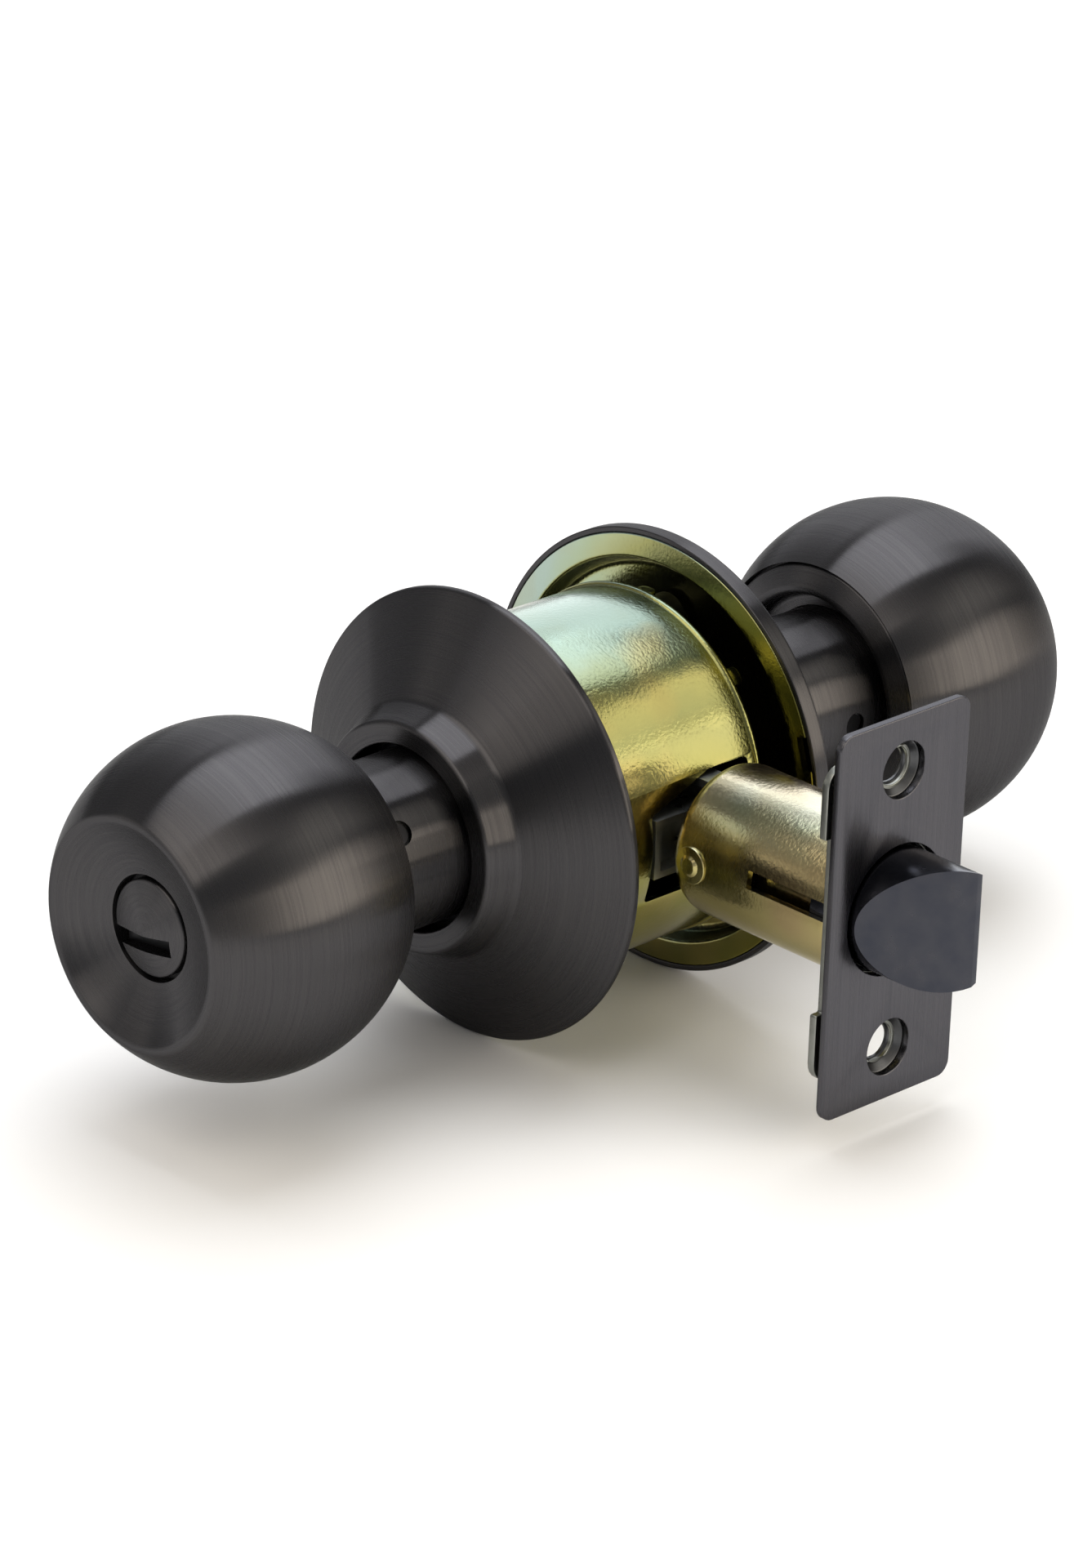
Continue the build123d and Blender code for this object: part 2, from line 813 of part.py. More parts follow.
def prong_bracket():
    """Disc in the rear of the tube, with side legs for the rivets and prongs into the drum."""
    radius = tube_bore - bracket_fit - (tube_shoulder - tube_wall)
    leg_radius = tube_bore - bracket_fit
    bracket = rod_x(radius, tube_floor, bracket_face)
    leg_ends = (bracket_face - sheet_fit, bracket_face + bracket_leg_length)
    legs = tube_x(leg_radius - bracket_thickness, leg_radius, *leg_ends)
    legs &= block(
        leg_ends,
        (-tube_radius, tube_radius),
        (-bracket_leg_width / 2, bracket_leg_width / 2),
    )
    foot = block(
        (bracket_face - bracket_thickness / 2, bracket_face),
        (-leg_radius, leg_radius),
        (-bracket_leg_width / 2, bracket_leg_width / 2),
    )
    bracket += legs
    bracket += foot & rod_x(leg_radius - bracket_foot_inset, tube_floor, bracket_face)
    bracket -= rod_x(bracket_hole_radius, tube_floor, bracket_face)
    bracket -= Pos(rivet_station, 0, 0) * rod_y(rivet_shank_radius, -tube_radius, tube_radius)
    for end in (-1, 1):
        prong = sorted((end * (prong_height - prong_thickness), end * prong_height))
        bracket += block(
            (tube_rear - prong_reach, tube_floor + bracket_thickness / 2),
            (-prong_width / 2, prong_width / 2),
            prong,
        )
    return bracket


def tube_rivets():
    """Dimpled rivets through the tube's sides into the legs of the bracket."""
    rivets = []
    shank_start = tube_bore - bracket_fit - bracket_thickness
    top = tube_radius + rivet_head_height
    for end in (-1, 1):
        head = rod_y(rivet_head_radius, tube_radius / 2, top)
        head = fillet(head.edges().sort_by(Axis.Y)[-1], rivet_head_height / 2)
        head -= Pos(-rivet_station, 0, 0) * rod_x(tube_radius, 0, 2 * rivet_station)
        ball_centre = top + rivet_dimple_radius - rivet_dimple_depth
        head -= Pos(0, ball_centre, 0) * Sphere(rivet_dimple_radius)
        shank = rod_y(rivet_shank_radius, shank_start, tube_radius)
        rivet = Pos(rivet_station, 0, 0) * (head + shank)
        rivets.append(mirror(rivet, about=Plane.XZ) if end < 0 else rivet)
    return Compound(rivets)


def latch_bolt():
    """Bevelled bolt: round in the tube, flat on one side and curved on its slope."""
    collar_front = backing_back - bolt_stop_gap
    collar_back = collar_front - bolt_collar_length
    bolt = rod_x(bolt_radius, collar_front, bolt_tip - bolt_tip_blunt)
    shaped = (backset + bolt_bevel_start, bolt_tip + bolt_radius)
    bolt -= block(shaped, (bolt_flat, 2 * bolt_radius), (-2 * bolt_radius, 2 * bolt_radius))
    slope_start = Vector(backset + bolt_bevel_start, -bolt_radius)
    slope_end = Vector(bolt_tip, bolt_flat)
    chord = slope_end - slope_start
    bulge = Vector(chord.Y, -chord.X).normalized() * bolt_bevel_bulge
    slope = ThreePointArc(slope_start, (slope_start + slope_end) * 0.5 + bulge, slope_end)
    rest = Polyline(
        slope_end,
        (bolt_tip + bolt_radius, bolt_flat),
        (bolt_tip + bolt_radius, -2 * bolt_radius),
        (slope_start.X, -2 * bolt_radius),
        slope_start,
    )
    cut = extrude(make_face([slope, *rest.edges()]), 2 * bolt_radius, both=True)
    bolt -= cut
    corner_x = bolt_tip - bolt_tip_blunt - bolt_tip_corner
    corner_z = sqrt(bolt_radius**2 - bolt_flat**2) - bolt_tip_corner
    across = (-2 * bolt_radius, 2 * bolt_radius)
    for end in (-1, 1):
        beyond = sorted((end * corner_z, end * 2 * bolt_radius))
        square = block((corner_x, bolt_tip + bolt_radius), across, beyond)
        bolt -= square - Pos(corner_x, 0, end * corner_z) * rod_y(bolt_tip_corner, *across)
    bolt += rod_x(tube_bore - running_gap, collar_back, collar_front)
    bolt += rod_x(bolt_rear_radius, collar_back - bolt_rear_length, collar_back)
    return bolt - rod_x(bolt_bore_radius, collar_back - bolt_rear_length, bolt_bore_end)


def latch_tail():
    """Flat bar from the bolt to the retractor, with a hammer head behind the claws."""
    head_front = claw_station - tail_play
    bar = block(
        (head_front, bolt_bore_end),
        (-tail_width / 2, tail_width / 2),
        (-tail_thickness / 2, tail_thickness / 2),
    )
    return bar + block(
        (head_front - tail_head_length, head_front),
        (-tail_head_width / 2, tail_head_width / 2),
        (-tail_head_height / 2, tail_head_height / 2),
    )


def latch_spring():
    """Spring round the tail, between the bracket and the bottom of the bolt's bore."""
    start = (bracket_face + spring_end_gap, 0, 0)
    length = bolt_bore_end - spring_end_gap - start[0]
    return coil(start, (1, 0, 0), length, latch_spring_radius, latch_spring_wire, latch_spring_turns)


nodes = {
    "outer_knob": knob(outer),
    "outer_knob_collar": knob_collar(outer),
    "outer_knob_neck": knob_neck(outer),
    "outer_spindle": spindle(outer, spindle_bore, has_web=True),
    "outer_knob_catch": knob_catch(outer),
    "release_turn": release_turn(),
    "release_housing": release_housing(),
    "release_clip": release_clip(),
    "release_spindle": release_spindle(),
    "inner_knob": knob(inner),
    "inner_knob_collar": knob_collar(inner),
    "inner_knob_neck": knob_neck(inner),
    "inner_spindle": spindle(inner, stem_radius + running_gap, has_web=False),
    "inner_knob_catch": knob_catch(inner),
    "push_button": push_button(),
    "button_housing": button_housing(),
    "button_spring": button_spring(),
    "button_stem": button_stem(),
    "locking_plunger": locking_plunger(),
    "outer_rose": rose(outer),
    "outer_rose_liner": rose_liner(),
    "inner_rose": rose(inner),
    "mounting_plate": mounting_plate(),
    "mounting_screws": mounting_screws(),
    "chassis_drum": chassis_drum(),
    "outer_end_plate": outer_end_plate(),
    "inner_end_plate": inner_end_plate(),
    "retractor": retractor(),
    "spring_seat": spring_seat(),
    "retractor_spring_upper": retractor_spring(1),
    "retractor_spring_lower": retractor_spring(-1),
    "faceplate": faceplate(),
    "backing_plate": backing_plate(),
    "latch_tube": latch_tube(),
    "prong_bracket": prong_bracket(),
    "tube_rivets": tube_rivets(),
    "latch_bolt": latch_bolt(),
    "latch_tail": latch_tail(),
    "latch_spring": latch_spring(),
}

os.makedirs("parts", exist_ok=True)
for name, shape in nodes.items():
    export_step(shape, f"parts/{name}.step")
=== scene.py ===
"""Looks of a bathroom knob lock: a privacy knobset with its latch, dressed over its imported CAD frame.

Sizes are in millimetres, as in the part's own source. The origin is where the knobs' axis (Y) crosses
the latch's axis (X). -Y is the outside of the door, +Y the inside, +X the edge of the door and +Z up.
"""

from __future__ import annotations

import logging
import math
from dataclasses import dataclass
from enum import Enum
from functools import partial
from typing import Any, Sequence

import bmesh
import bpy
from bpy.types import Material, Mesh, Node, NodeSocket, NodeTree, Object
from mathutils import Matrix, Vector

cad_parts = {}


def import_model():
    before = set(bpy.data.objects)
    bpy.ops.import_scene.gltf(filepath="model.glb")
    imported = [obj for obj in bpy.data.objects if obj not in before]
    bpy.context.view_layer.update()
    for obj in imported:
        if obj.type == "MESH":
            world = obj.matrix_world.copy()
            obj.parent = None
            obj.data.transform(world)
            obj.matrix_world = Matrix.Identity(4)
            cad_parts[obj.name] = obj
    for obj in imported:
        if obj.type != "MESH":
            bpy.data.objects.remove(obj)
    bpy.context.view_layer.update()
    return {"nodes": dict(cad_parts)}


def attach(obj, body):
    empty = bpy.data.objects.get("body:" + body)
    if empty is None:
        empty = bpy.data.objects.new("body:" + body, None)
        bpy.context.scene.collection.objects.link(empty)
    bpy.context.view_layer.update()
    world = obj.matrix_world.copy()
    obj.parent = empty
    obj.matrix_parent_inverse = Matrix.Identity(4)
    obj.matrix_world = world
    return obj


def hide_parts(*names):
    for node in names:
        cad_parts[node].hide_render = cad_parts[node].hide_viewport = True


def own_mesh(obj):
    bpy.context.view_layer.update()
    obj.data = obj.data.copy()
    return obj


LOG = logging.getLogger("knob_lock")
MM = 0.001
UV_NAME = "UVMap"
SMOOTH_ANGLE = math.radians(32.0)
WELD = 1e-6
# Limits of what a section's corners may be: the share of a side that one rounding takes, how far from straight
# a corner is at least, how sharply a sheet bends at most, and the smallest bend on its inner face.
ROUND_SHARE = 0.49
NEARLY_STRAIGHT = 1e-3
SHARPEST = 0.2
TIGHTEST = 0.05
# Angle between two corners of a round cutter and of a bend in a sheet's section, in degrees.
ROD_STEP = 7.5
BEND_STEP = 9.0
# A noise texture hardly leaves this span.
NOISE_SPAN = (0.3, 0.7)

Point = tuple[float, float]
Span = tuple[float, float]
Triple = tuple[float, float, float]
Inputs = dict[Any, Any]

IN_PLACE = Matrix.Identity(4)
# Lays a piece spun about Y along the latch's axis, X.
LATCH_TURN = Matrix.Rotation(-math.pi / 2, 4, "Z")
# Lays a shape drawn in XY into YZ, with its thickness along X.
FACING_EDGE = Matrix(((0, 0, 1, 0), (1, 0, 0, 0), (0, 1, 0, 0), (0, 0, 0, 1)))
# Lays a shape drawn in XY into XZ, with its thickness along Y.
STANDING = Matrix(((1, 0, 0, 0), (0, 0, 1, 0), (0, 1, 0, 0), (0, 0, 0, 1)))


class Brush(Enum):
    """Which way the marks of polishing run on a piece."""

    ROUND = "circles about the knobs' axis"
    UPRIGHT = "straight lines along the faceplate"


class Side(Enum):
    """Side of the door, and the way that leads to it along Y."""

    OUTER = -1
    INNER = 1

    @property
    def label(self) -> str:
        """Start of the names of what is on this side."""
        return self.name.lower()


# Colours, nodes and meshes


def srgb(hex_colour: str) -> tuple[float, float, float, float]:
    """Turn an sRGB hex value into a linear colour.

    Args:
        hex_colour: Six hex digits after a hash sign.

    Returns:
        Linear red, green, blue and a full alpha.
    """
    parts = [int(hex_colour[i : i + 2], 16) / 255 for i in (1, 3, 5)]
    linear = [p / 12.92 if p <= 0.04045 else ((p + 0.055) / 1.055) ** 2.4 for p in parts]
    return (linear[0], linear[1], linear[2], 1.0)


def add_node(tree: NodeTree, kind: str, inputs: Inputs | None = None, **settings: Any) -> Node:
    """Add one node with its settings, values and links.

    Args:
        tree: The tree that gets the node.
        kind: The node's Blender type.
        inputs: Socket name or number to a value, to a socket to link, or to a node, whose first socket in
            use is linked.
        **settings: Properties of the node.

    Returns:
        The new node.
    """
    node = tree.nodes.new(kind)
    for name, value in settings.items():
        setattr(node, name, value)
    for key, value in (inputs or {}).items():
        if isinstance(value, Node):
            value = next(socket for socket in value.outputs if socket.enabled)
        if isinstance(value, NodeSocket):
            tree.links.new(value, node.inputs[key])
        else:
            node.inputs[key].default_value = value
    return node


def flat_mesh(obj: Object) -> Mesh:
    """Take an object's mesh with all its modifiers worked out.

    Args:
        obj: The object, which is in the scene.

    Returns:
        A new plain mesh.
    """
    bpy.context.view_layer.update()
    graph = bpy.context.evaluated_depsgraph_get()
    return bpy.data.meshes.new_from_object(obj.evaluated_get(graph))


def smooth(mesh: Mesh) -> None:
    """Shade a mesh smooth, with its real edges left sharp."""
    mesh.shade_smooth()
    mesh.set_sharp_from_angle(angle=SMOOTH_ANGLE)


def settle(piece: Object) -> None:
    """Replace a piece's mesh by the smoothed result of its modifiers.

    Args:
        piece: The piece, which loses its modifiers.
    """
    mesh = flat_mesh(piece)
    piece.modifiers.clear()
    piece.data = mesh
    smooth(mesh)


def new_object(name: str, mesh: Mesh) -> Object:
    """Put a mesh in the scene.

    Args:
        name: Name of the mesh and of its object.
        mesh: The mesh.

    Returns:
        The object, at the origin.
    """
    mesh.name = name
    obj = bpy.data.objects.new(name, mesh)
    bpy.context.scene.collection.objects.link(obj)
    return obj


def shaped(name: str, shape: bmesh.types.BMesh, turn: Matrix = IN_PLACE) -> Object:
    """Put a shape in the scene.

    Args:
        name: Name of the object.
        shape: The shape, which is freed.
        turn: A turn or a move of the shape, in metres.

    Returns:
        The object, at the origin.
    """
    mesh = bpy.data.meshes.new(name)
    shape.to_mesh(mesh)
    shape.free()
    mesh.transform(turn)
    return new_object(name, mesh)


def turn_outwards(mesh: Mesh) -> None:
    """Make the faces of one closed shell point away from its material.

    Args:
        mesh: A closed mesh whose faces agree with each other.
    """
    shell = bmesh.new()
    shell.from_mesh(mesh)
    if shell.calc_volume(signed=True) < 0:
        bmesh.ops.reverse_faces(shell, faces=shell.faces)
        shell.to_mesh(mesh)
    shell.free()


def carve(piece: Object, *cutters: Object) -> None:
    """Cut closed shapes out of a piece, and remove them from the scene.

    Args:
        piece: The piece.
        *cutters: The shapes to take away.
    """
    for cutter in cutters:
        change = piece.modifiers.new("cut", "BOOLEAN")
        change.operation, change.solver, change.object = "DIFFERENCE", "EXACT", cutter
    finish = next(material for material in piece.data.materials if material)
    settle(piece)
    for cutter in cutters:
        bpy.data.objects.remove(cutter)
    piece.data.materials.clear()
    piece.data.materials.append(finish)
    piece.data.polygons.foreach_set("material_index", [0] * len(piece.data.polygons))


def soften(piece: Object, width: float, segments: int = 2, limit: float = 30.0) -> None:
    """Round a piece's edges.

    Args:
        piece: The piece.
        width: Width of the rounding.
        segments: Number of its steps.
        limit: Smallest angle of an edge that is rounded, in degrees.
    """
    edges = piece.modifiers.new("edges", "BEVEL")
    edges.width = width * MM
    edges.segments = segments
    edges.limit_method = "ANGLE"
    edges.angle_limit = math.radians(limit)
    settle(piece)


def prism(outline: Sequence[Point], low: float, high: float, turn: Matrix = IN_PLACE) -> Object:
    """Make a straight-sided shape along Z.

    Args:
        outline: Corners in the XY plane.
        low: Where it starts.
        high: Where it ends.
        turn: A turn or a move that is done after it, in metres.

    Returns:
        The shape as an object.
    """
    shape = bmesh.new()
    floor = shape.faces.new([shape.verts.new((x * MM, y * MM, low * MM)) for x, y in outline])
    grown = bmesh.ops.extrude_face_region(shape, geom=[floor])
    top = [item for item in grown["geom"] if isinstance(item, bmesh.types.BMVert)]
    bmesh.ops.translate(shape, verts=top, vec=(0, 0, (high - low) * MM))
    bmesh.ops.recalc_face_normals(shape, faces=shape.faces)
    return shaped("prism", shape, turn)


def block(x: Span, y: Span, z: Span, turn: Matrix = IN_PLACE) -> Object:
    """Make a box from its low and high limit along each axis, and turn it."""
    return prism([(x[0], y[0]), (x[1], y[0]), (x[1], y[1]), (x[0], y[1])], *z, turn)


def rod(radius: float, low: float, high: float, turn: Matrix) -> Object:
    """Make a round bar along Z between two heights, and turn it."""
    return prism(circle(radius, step=ROD_STEP), low, high, turn)


# Sections of spun and pressed sheet


def arc(centre: Point, radius: float, start: float, end: float, step: float = 3.0) -> list[Point]:
    """Points along a circular arc.

    Args:
        centre: Centre of the arc.
        radius: Its radius.
        start: First angle, in degrees.
        end: Last angle, in degrees.
        step: Largest angle between two points.

    Returns:
        The points, both ends among them.
    """
    count = max(1, math.ceil(abs(end - start) / step))
    angles = [math.radians(start + (end - start) * i / count) for i in range(count + 1)]
    return [(centre[0] + radius * math.cos(a), centre[1] + radius * math.sin(a)) for a in angles]


def circle(radius: float, height: float = 0.0, step: float = 3.0) -> list[Point]:
    """Points of a circle whose centre is at a height on the vertical axis."""
    return arc((0.0, height), radius, 0, 360 - step, step)


def bulged(start: Vector, end: Vector, rise: float, steps: int) -> list[Point]:
    """Points of an arc that bulges to the right of the straight way between its ends.

    Args:
        start: First point.
        end: Last point.
        rise: Height of the bulge.
        steps: Number of steps.

    Returns:
        The points.
    """
    chord = end - start
    radius = (chord.length**2 / 4 + rise**2) / (2 * rise)
    centre = (start + end) / 2 - Vector((chord.y, -chord.x)).normalized() * (radius - rise)
    first, last = (math.degrees(math.atan2(p.y - centre.y, p.x - centre.x)) for p in (start, end))
    sweep = (last - first + 180) % 360 - 180
    # Half a step of room keeps the arc's own count from being one too many.
    return arc((centre.x, centre.y), radius, first, first + sweep, abs(sweep) / (steps - 0.5))


def round_corner(before: Point, corner: Point, after: Point, radius: float, step: float) -> list[Point]:
    """Points that round one corner of a line.

    Args:
        before: The point before the corner.
        corner: The corner.
        after: The point after the corner.
        radius: Radius of the rounding, which shrinks where the sides are short.
        step: Largest angle between two points, in degrees.

    Returns:
        The points of the rounding, or the corner alone.
    """
    here, back, on = Vector(corner), Vector(before), Vector(after)
    inward, outward = (back - here).normalized(), (on - here).normalized()
    opening = inward.angle(outward)
    if radius <= 0 or opening > math.pi - NEARLY_STRAIGHT:
        return [corner]
    reach = radius / math.tan(opening / 2)
    most = min((back - here).length, (on - here).length) * ROUND_SHARE
    if reach > most:
        radius *= most / reach
        reach = most
    centre = here + (inward + outward).normalized() * (radius / math.sin(opening / 2))
    first, last = here + inward * reach - centre, here + outward * reach - centre
    start = math.degrees(math.atan2(first.y, first.x))
    sweep = (math.degrees(math.atan2(last.y, last.x)) - start + 180) % 360 - 180
    return arc((centre.x, centre.y), radius, start, start + sweep, step)


def rounded_loop(points: Sequence[Point], radii: Sequence[float], step: float = 15.0) -> list[Point]:
    """Round the corners of a closed line.

    Args:
        points: Its corners.
        radii: One radius for each corner.
        step: Largest angle between two points of a rounding, in degrees.

    Returns:
        The points of the rounded loop.
    """
    loop: list[Point] = []
    for i, radius in enumerate(radii):
        loop += round_corner(points[i - 1], points[i], points[(i + 1) % len(points)], radius, step)
    return loop


def beside(points: Sequence[Point], distance: float) -> list[Point]:
    """Corners of a line that runs beside another.

    Args:
        points: Corners of the first line.
        distance: Gap between them, positive to the left of the way along it.

    Returns:
        Corners of the second line, in the same order.
    """
    corners = [Vector(p) for p in points]
    ways = [(b - a).normalized() for a, b in zip(corners, corners[1:])]
    lefts = [Vector((-way.y, way.x)) for way in ways]
    result = []
    for i, corner in enumerate(corners):
        one, two = lefts[max(i - 1, 0)], lefts[min(i, len(lefts) - 1)]
        middle = (one + two).normalized()
        moved = corner + middle * (distance / max(SHARPEST, middle.dot(one)))
        result.append((moved.x, moved.y))
    return result


def sheet_section(points: Sequence[Point], radii: Sequence[float], wall: float, edge: float) -> list[Point]:
    """Closed section of a bent sheet with rounded edges.

    Args:
        points: Corners of its shown face, as radius and station.
        radii: Bend radii of that face, one for each corner between the ends.
        wall: Thickness, positive to the left of the way along the shown face.
        edge: Rounding of the sheet's two edges.

    Returns:
        The points of the closed section.
    """
    other_radii = []
    for i, radius in enumerate(radii, start=1):
        a, b, c = (Vector(points[j]) for j in (i - 1, i, i + 1))
        left_bend = (b - a).x * (c - b).y - (b - a).y * (c - b).x > 0
        shrinks = left_bend == (wall > 0)
        other_radii.append(max(TIGHTEST, radius - abs(wall)) if shrinks else radius + abs(wall))
    corners = [*points, *reversed(beside(points, wall))]
    return rounded_loop(corners, [edge, *radii, edge, edge, *reversed(other_radii), edge], step=BEND_STEP)


def set_out(section: Sequence[Point], station: float, way: int = 1) -> list[Point]:
    """Put a section at a station along Y, with its own stations measured along a way."""
    return [(radius, way * (along + station)) for radius, along in section]


# Geometry node trees


def grow(tree: NodeTree, piece: Object, values: dict[str, Any]) -> None:
    """Run a node tree on a piece with named inputs, and keep the plain mesh.

    Args:
        tree: The tree.
        piece: The object that it starts from.
        values: Names of the tree's inputs, and their values.
    """
    modifier = piece.modifiers.new(tree.name, "NODES")
    modifier.node_group = tree
    sockets = {item.name: item.identifier for item in tree.interface.items_tree if item.in_out == "INPUT"}
    for name, value in values.items():
        modifier[sockets[name]] = value
    settle(piece)


class Trees:
    """The node trees that shape what is spun, repeated or coiled."""

    def __init__(self) -> None:
        """Build each tree once."""
        self.spun = self._spun()
        self.copies = self._copies()
        self.coil = self._coil()

    @staticmethod
    def _start(name: str, **kinds: str) -> tuple[NodeTree, Any]:
        """Make an empty tree with its inputs.

        Args:
            name: Name of the tree.
            **kinds: Names and kinds of its inputs, after the geometry and before the material.

        Returns:
            The tree and its inputs by name.
        """
        tree = bpy.data.node_groups.new(name, "GeometryNodeTree")
        tree.interface.new_socket("Geometry", in_out="OUTPUT", socket_type="NodeSocketGeometry")
        for label, kind in {"Geometry": "Geometry", **kinds, "Material": "Material"}.items():
            tree.interface.new_socket(label, in_out="INPUT", socket_type=f"NodeSocket{kind}")
        return tree, add_node(tree, "NodeGroupInput").outputs

    @staticmethod
    def _end(tree: NodeTree, geometry: Node, material: NodeSocket) -> NodeTree:
        """End a tree with real meshes in the piece's material.

        Args:
            tree: The tree.
            geometry: The node with the result.
            material: The piece's material.

        Returns:
            The tree.
        """
        real = add_node(tree, "GeometryNodeRealizeInstances", {"Geometry": geometry})
        dressed = add_node(tree, "GeometryNodeSetMaterial", {"Geometry": real, "Material": material})
        add_node(tree, "NodeGroupOutput", {"Geometry": dressed})
        return tree

    def _spun(self) -> NodeTree:
        """Section turned about the knobs' axis, with U round the axis and V along the section.

        Returns:
            The tree. Its geometry is the closed section, radius along X and station along Y.
        """
        tree, given = self._start("spun section", Rows="Int", Segments="Int")
        add = partial(add_node, tree)
        rows = given["Rows"]
        across, along = (
            add("ShaderNodeMath", {0: count, 1: 1.0}, operation="ADD") for count in (given["Segments"], rows)
        )
        grid = add("GeometryNodeMeshGrid", {"Size X": 1.0, "Size Y": 1.0, "Vertices X": across, "Vertices Y": along})
        mapped = add(
            "GeometryNodeStoreNamedAttribute",
            {"Geometry": grid, "Name": UV_NAME, "Value": grid.outputs["UV Map"]},
            data_type="FLOAT2",
            domain="CORNER",
        )
        place = add("GeometryNodeInputPosition")
        apart = add("ShaderNodeSeparateXYZ", {0: place})
        share = add("ShaderNodeMath", {0: apart.outputs["Y"], 1: 0.5}, operation="ADD")
        row = add("ShaderNodeMath", {0: share, 1: rows}, operation="MULTIPLY")
        whole = add("ShaderNodeMath", {0: row}, operation="ROUND")
        index = add("ShaderNodeMath", {0: whole, 1: rows}, operation="MODULO")
        sample = add(
            "GeometryNodeSampleIndex",
            {"Geometry": given["Geometry"], "Index": index, "Value": place},
            data_type="FLOAT_VECTOR",
            domain="POINT",
        )
        section = add("ShaderNodeSeparateXYZ", {0: sample})
        turn = add("ShaderNodeMath", {0: apart.outputs["X"], 1: math.tau}, operation="MULTIPLY")
        cosine, sine = (add("ShaderNodeMath", {0: turn}, operation=wave) for wave in ("COSINE", "SINE"))
        out = section.outputs["X"]
        x, z = (add("ShaderNodeMath", {0: out, 1: wave}, operation="MULTIPLY") for wave in (cosine, sine))
        spot = add("ShaderNodeCombineXYZ", {0: x, 1: section.outputs["Y"], 2: z})
        moved = add("GeometryNodeSetPosition", {"Geometry": mapped, "Position": spot})
        welded = add("GeometryNodeMergeByDistance", {"Geometry": moved, "Distance": WELD})
        return self._end(tree, welded, given["Material"])

    def _copies(self) -> NodeTree:
        """Copies of a piece, each turned on from the last about the origin.

        Returns:
            The tree. Its geometry is the first piece, in its place.
        """
        tree, given = self._start("turned copies", Count="Int", Turn="Vector")
        add = partial(add_node, tree)
        points = add("GeometryNodeMeshLine", {"Count": given["Count"], "Offset": (0.0, 0.0, 0.0)}, mode="OFFSET")
        index = add("GeometryNodeInputIndex")
        turn = add("ShaderNodeVectorMath", {0: given["Turn"], "Scale": index}, operation="SCALE")
        copies = add(
            "GeometryNodeInstanceOnPoints", {"Points": points, "Instance": given["Geometry"], "Rotation": turn}
        )
        return self._end(tree, copies, given["Material"])

    def _coil(self) -> NodeTree:
        """Round wire along a helix about Z, from the origin up.

        Returns:
            The tree. Its geometry isn't used.
        """
        tree, given = self._start("coil spring", Radius="Float", Height="Float", Turns="Float", Wire="Float")
        add = partial(add_node, tree)
        helix = add(
            "GeometryNodeCurveSpiral",
            {
                "Resolution": 28,
                "Rotations": given["Turns"],
                "Start Radius": given["Radius"],
                "End Radius": given["Radius"],
                "Height": given["Height"],
            },
        )
        wire = add("GeometryNodeCurvePrimitiveCircle", {"Resolution": 12, "Radius": given["Wire"]})
        body = add("GeometryNodeCurveToMesh", {"Curve": helix, "Profile Curve": wire, "Fill Caps": True})
        return self._end(tree, body, given["Material"])


# Finishes


def brush_lines(tree: NodeTree, brush: Brush, pitch: float, run: float) -> Node:
    """Streaks that polishing leaves, long one way and fine across it.

    Args:
        tree: The material's tree.
        brush: Which way they run.
        pitch: Distance between two streaks, in millimetres.
        run: Length of a streak on a straight brush, in millimetres.

    Returns:
        A value around a half that varies from streak to streak.
    """
    add = partial(add_node, tree)
    place = add("ShaderNodeTexCoord").outputs["Object"]
    fine = 1 / (pitch * MM)
    if brush is Brush.UPRIGHT:
        scaled = add("ShaderNodeVectorMath", {0: place, 1: (fine, fine, 1 / (run * MM))}, operation="MULTIPLY")
        return add("ShaderNodeTexNoise", {"Vector": scaled, "Scale": 1.0, "Detail": 2.0})
    apart = add("ShaderNodeSeparateXYZ", {0: place}).outputs
    flat = add("ShaderNodeCombineXYZ", {0: apart["X"], 1: apart["Z"]})
    radius = add("ShaderNodeVectorMath", {0: flat}, operation="LENGTH")
    way = add("ShaderNodeVectorMath", {0: flat}, operation="NORMALIZE")
    way_parts = add("ShaderNodeSeparateXYZ", {0: way}).outputs
    station = add("ShaderNodeMath", {0: apart["Y"], 1: fine}, operation="MULTIPLY")
    reach = add("ShaderNodeMath", {0: radius, 1: fine}, operation="MULTIPLY")
    spot = add("ShaderNodeCombineXYZ", {0: way_parts["X"], 1: way_parts["Y"], 2: station})
    values = {"Vector": spot, "W": reach, "Scale": 1.0, "Detail": 2.0}
    return add("ShaderNodeTexNoise", values, noise_dimensions="4D")


def spread(tree: NodeTree, value: Node, low: float, high: float) -> Node:
    """Stretch a noise from its usual span to a new one."""
    span = {"From Min": NOISE_SPAN[0], "From Max": NOISE_SPAN[1], "To Min": low, "To Max": high}
    return add_node(tree, "ShaderNodeMapRange", {"Value": value, **span})


def blank_material(name: str) -> tuple[Material, NodeTree]:
    """Make an empty node material.

    Args:
        name: Name of the real finish.

    Returns:
        The material and its tree.
    """
    material = bpy.data.materials.new(name)
    material.use_nodes = True
    material.node_tree.nodes.clear()
    return material, material.node_tree


def close_material(tree: NodeTree, height: Node, depth: float, inputs: Inputs) -> None:
    """End a material with its relief, its shader and the output.

    Args:
        tree: The material's tree.
        height: Pattern of the relief.
        depth: Depth of the relief, in millimetres.
        inputs: The shader's other values and links.
    """
    bump = add_node(tree, "ShaderNodeBump", {"Height": height, "Distance": depth * MM, "Strength": 1.0})
    shader = add_node(tree, "ShaderNodeBsdfPrincipled", {**inputs, "Normal": bump})
    add_node(tree, "ShaderNodeOutputMaterial", {"Surface": shader})


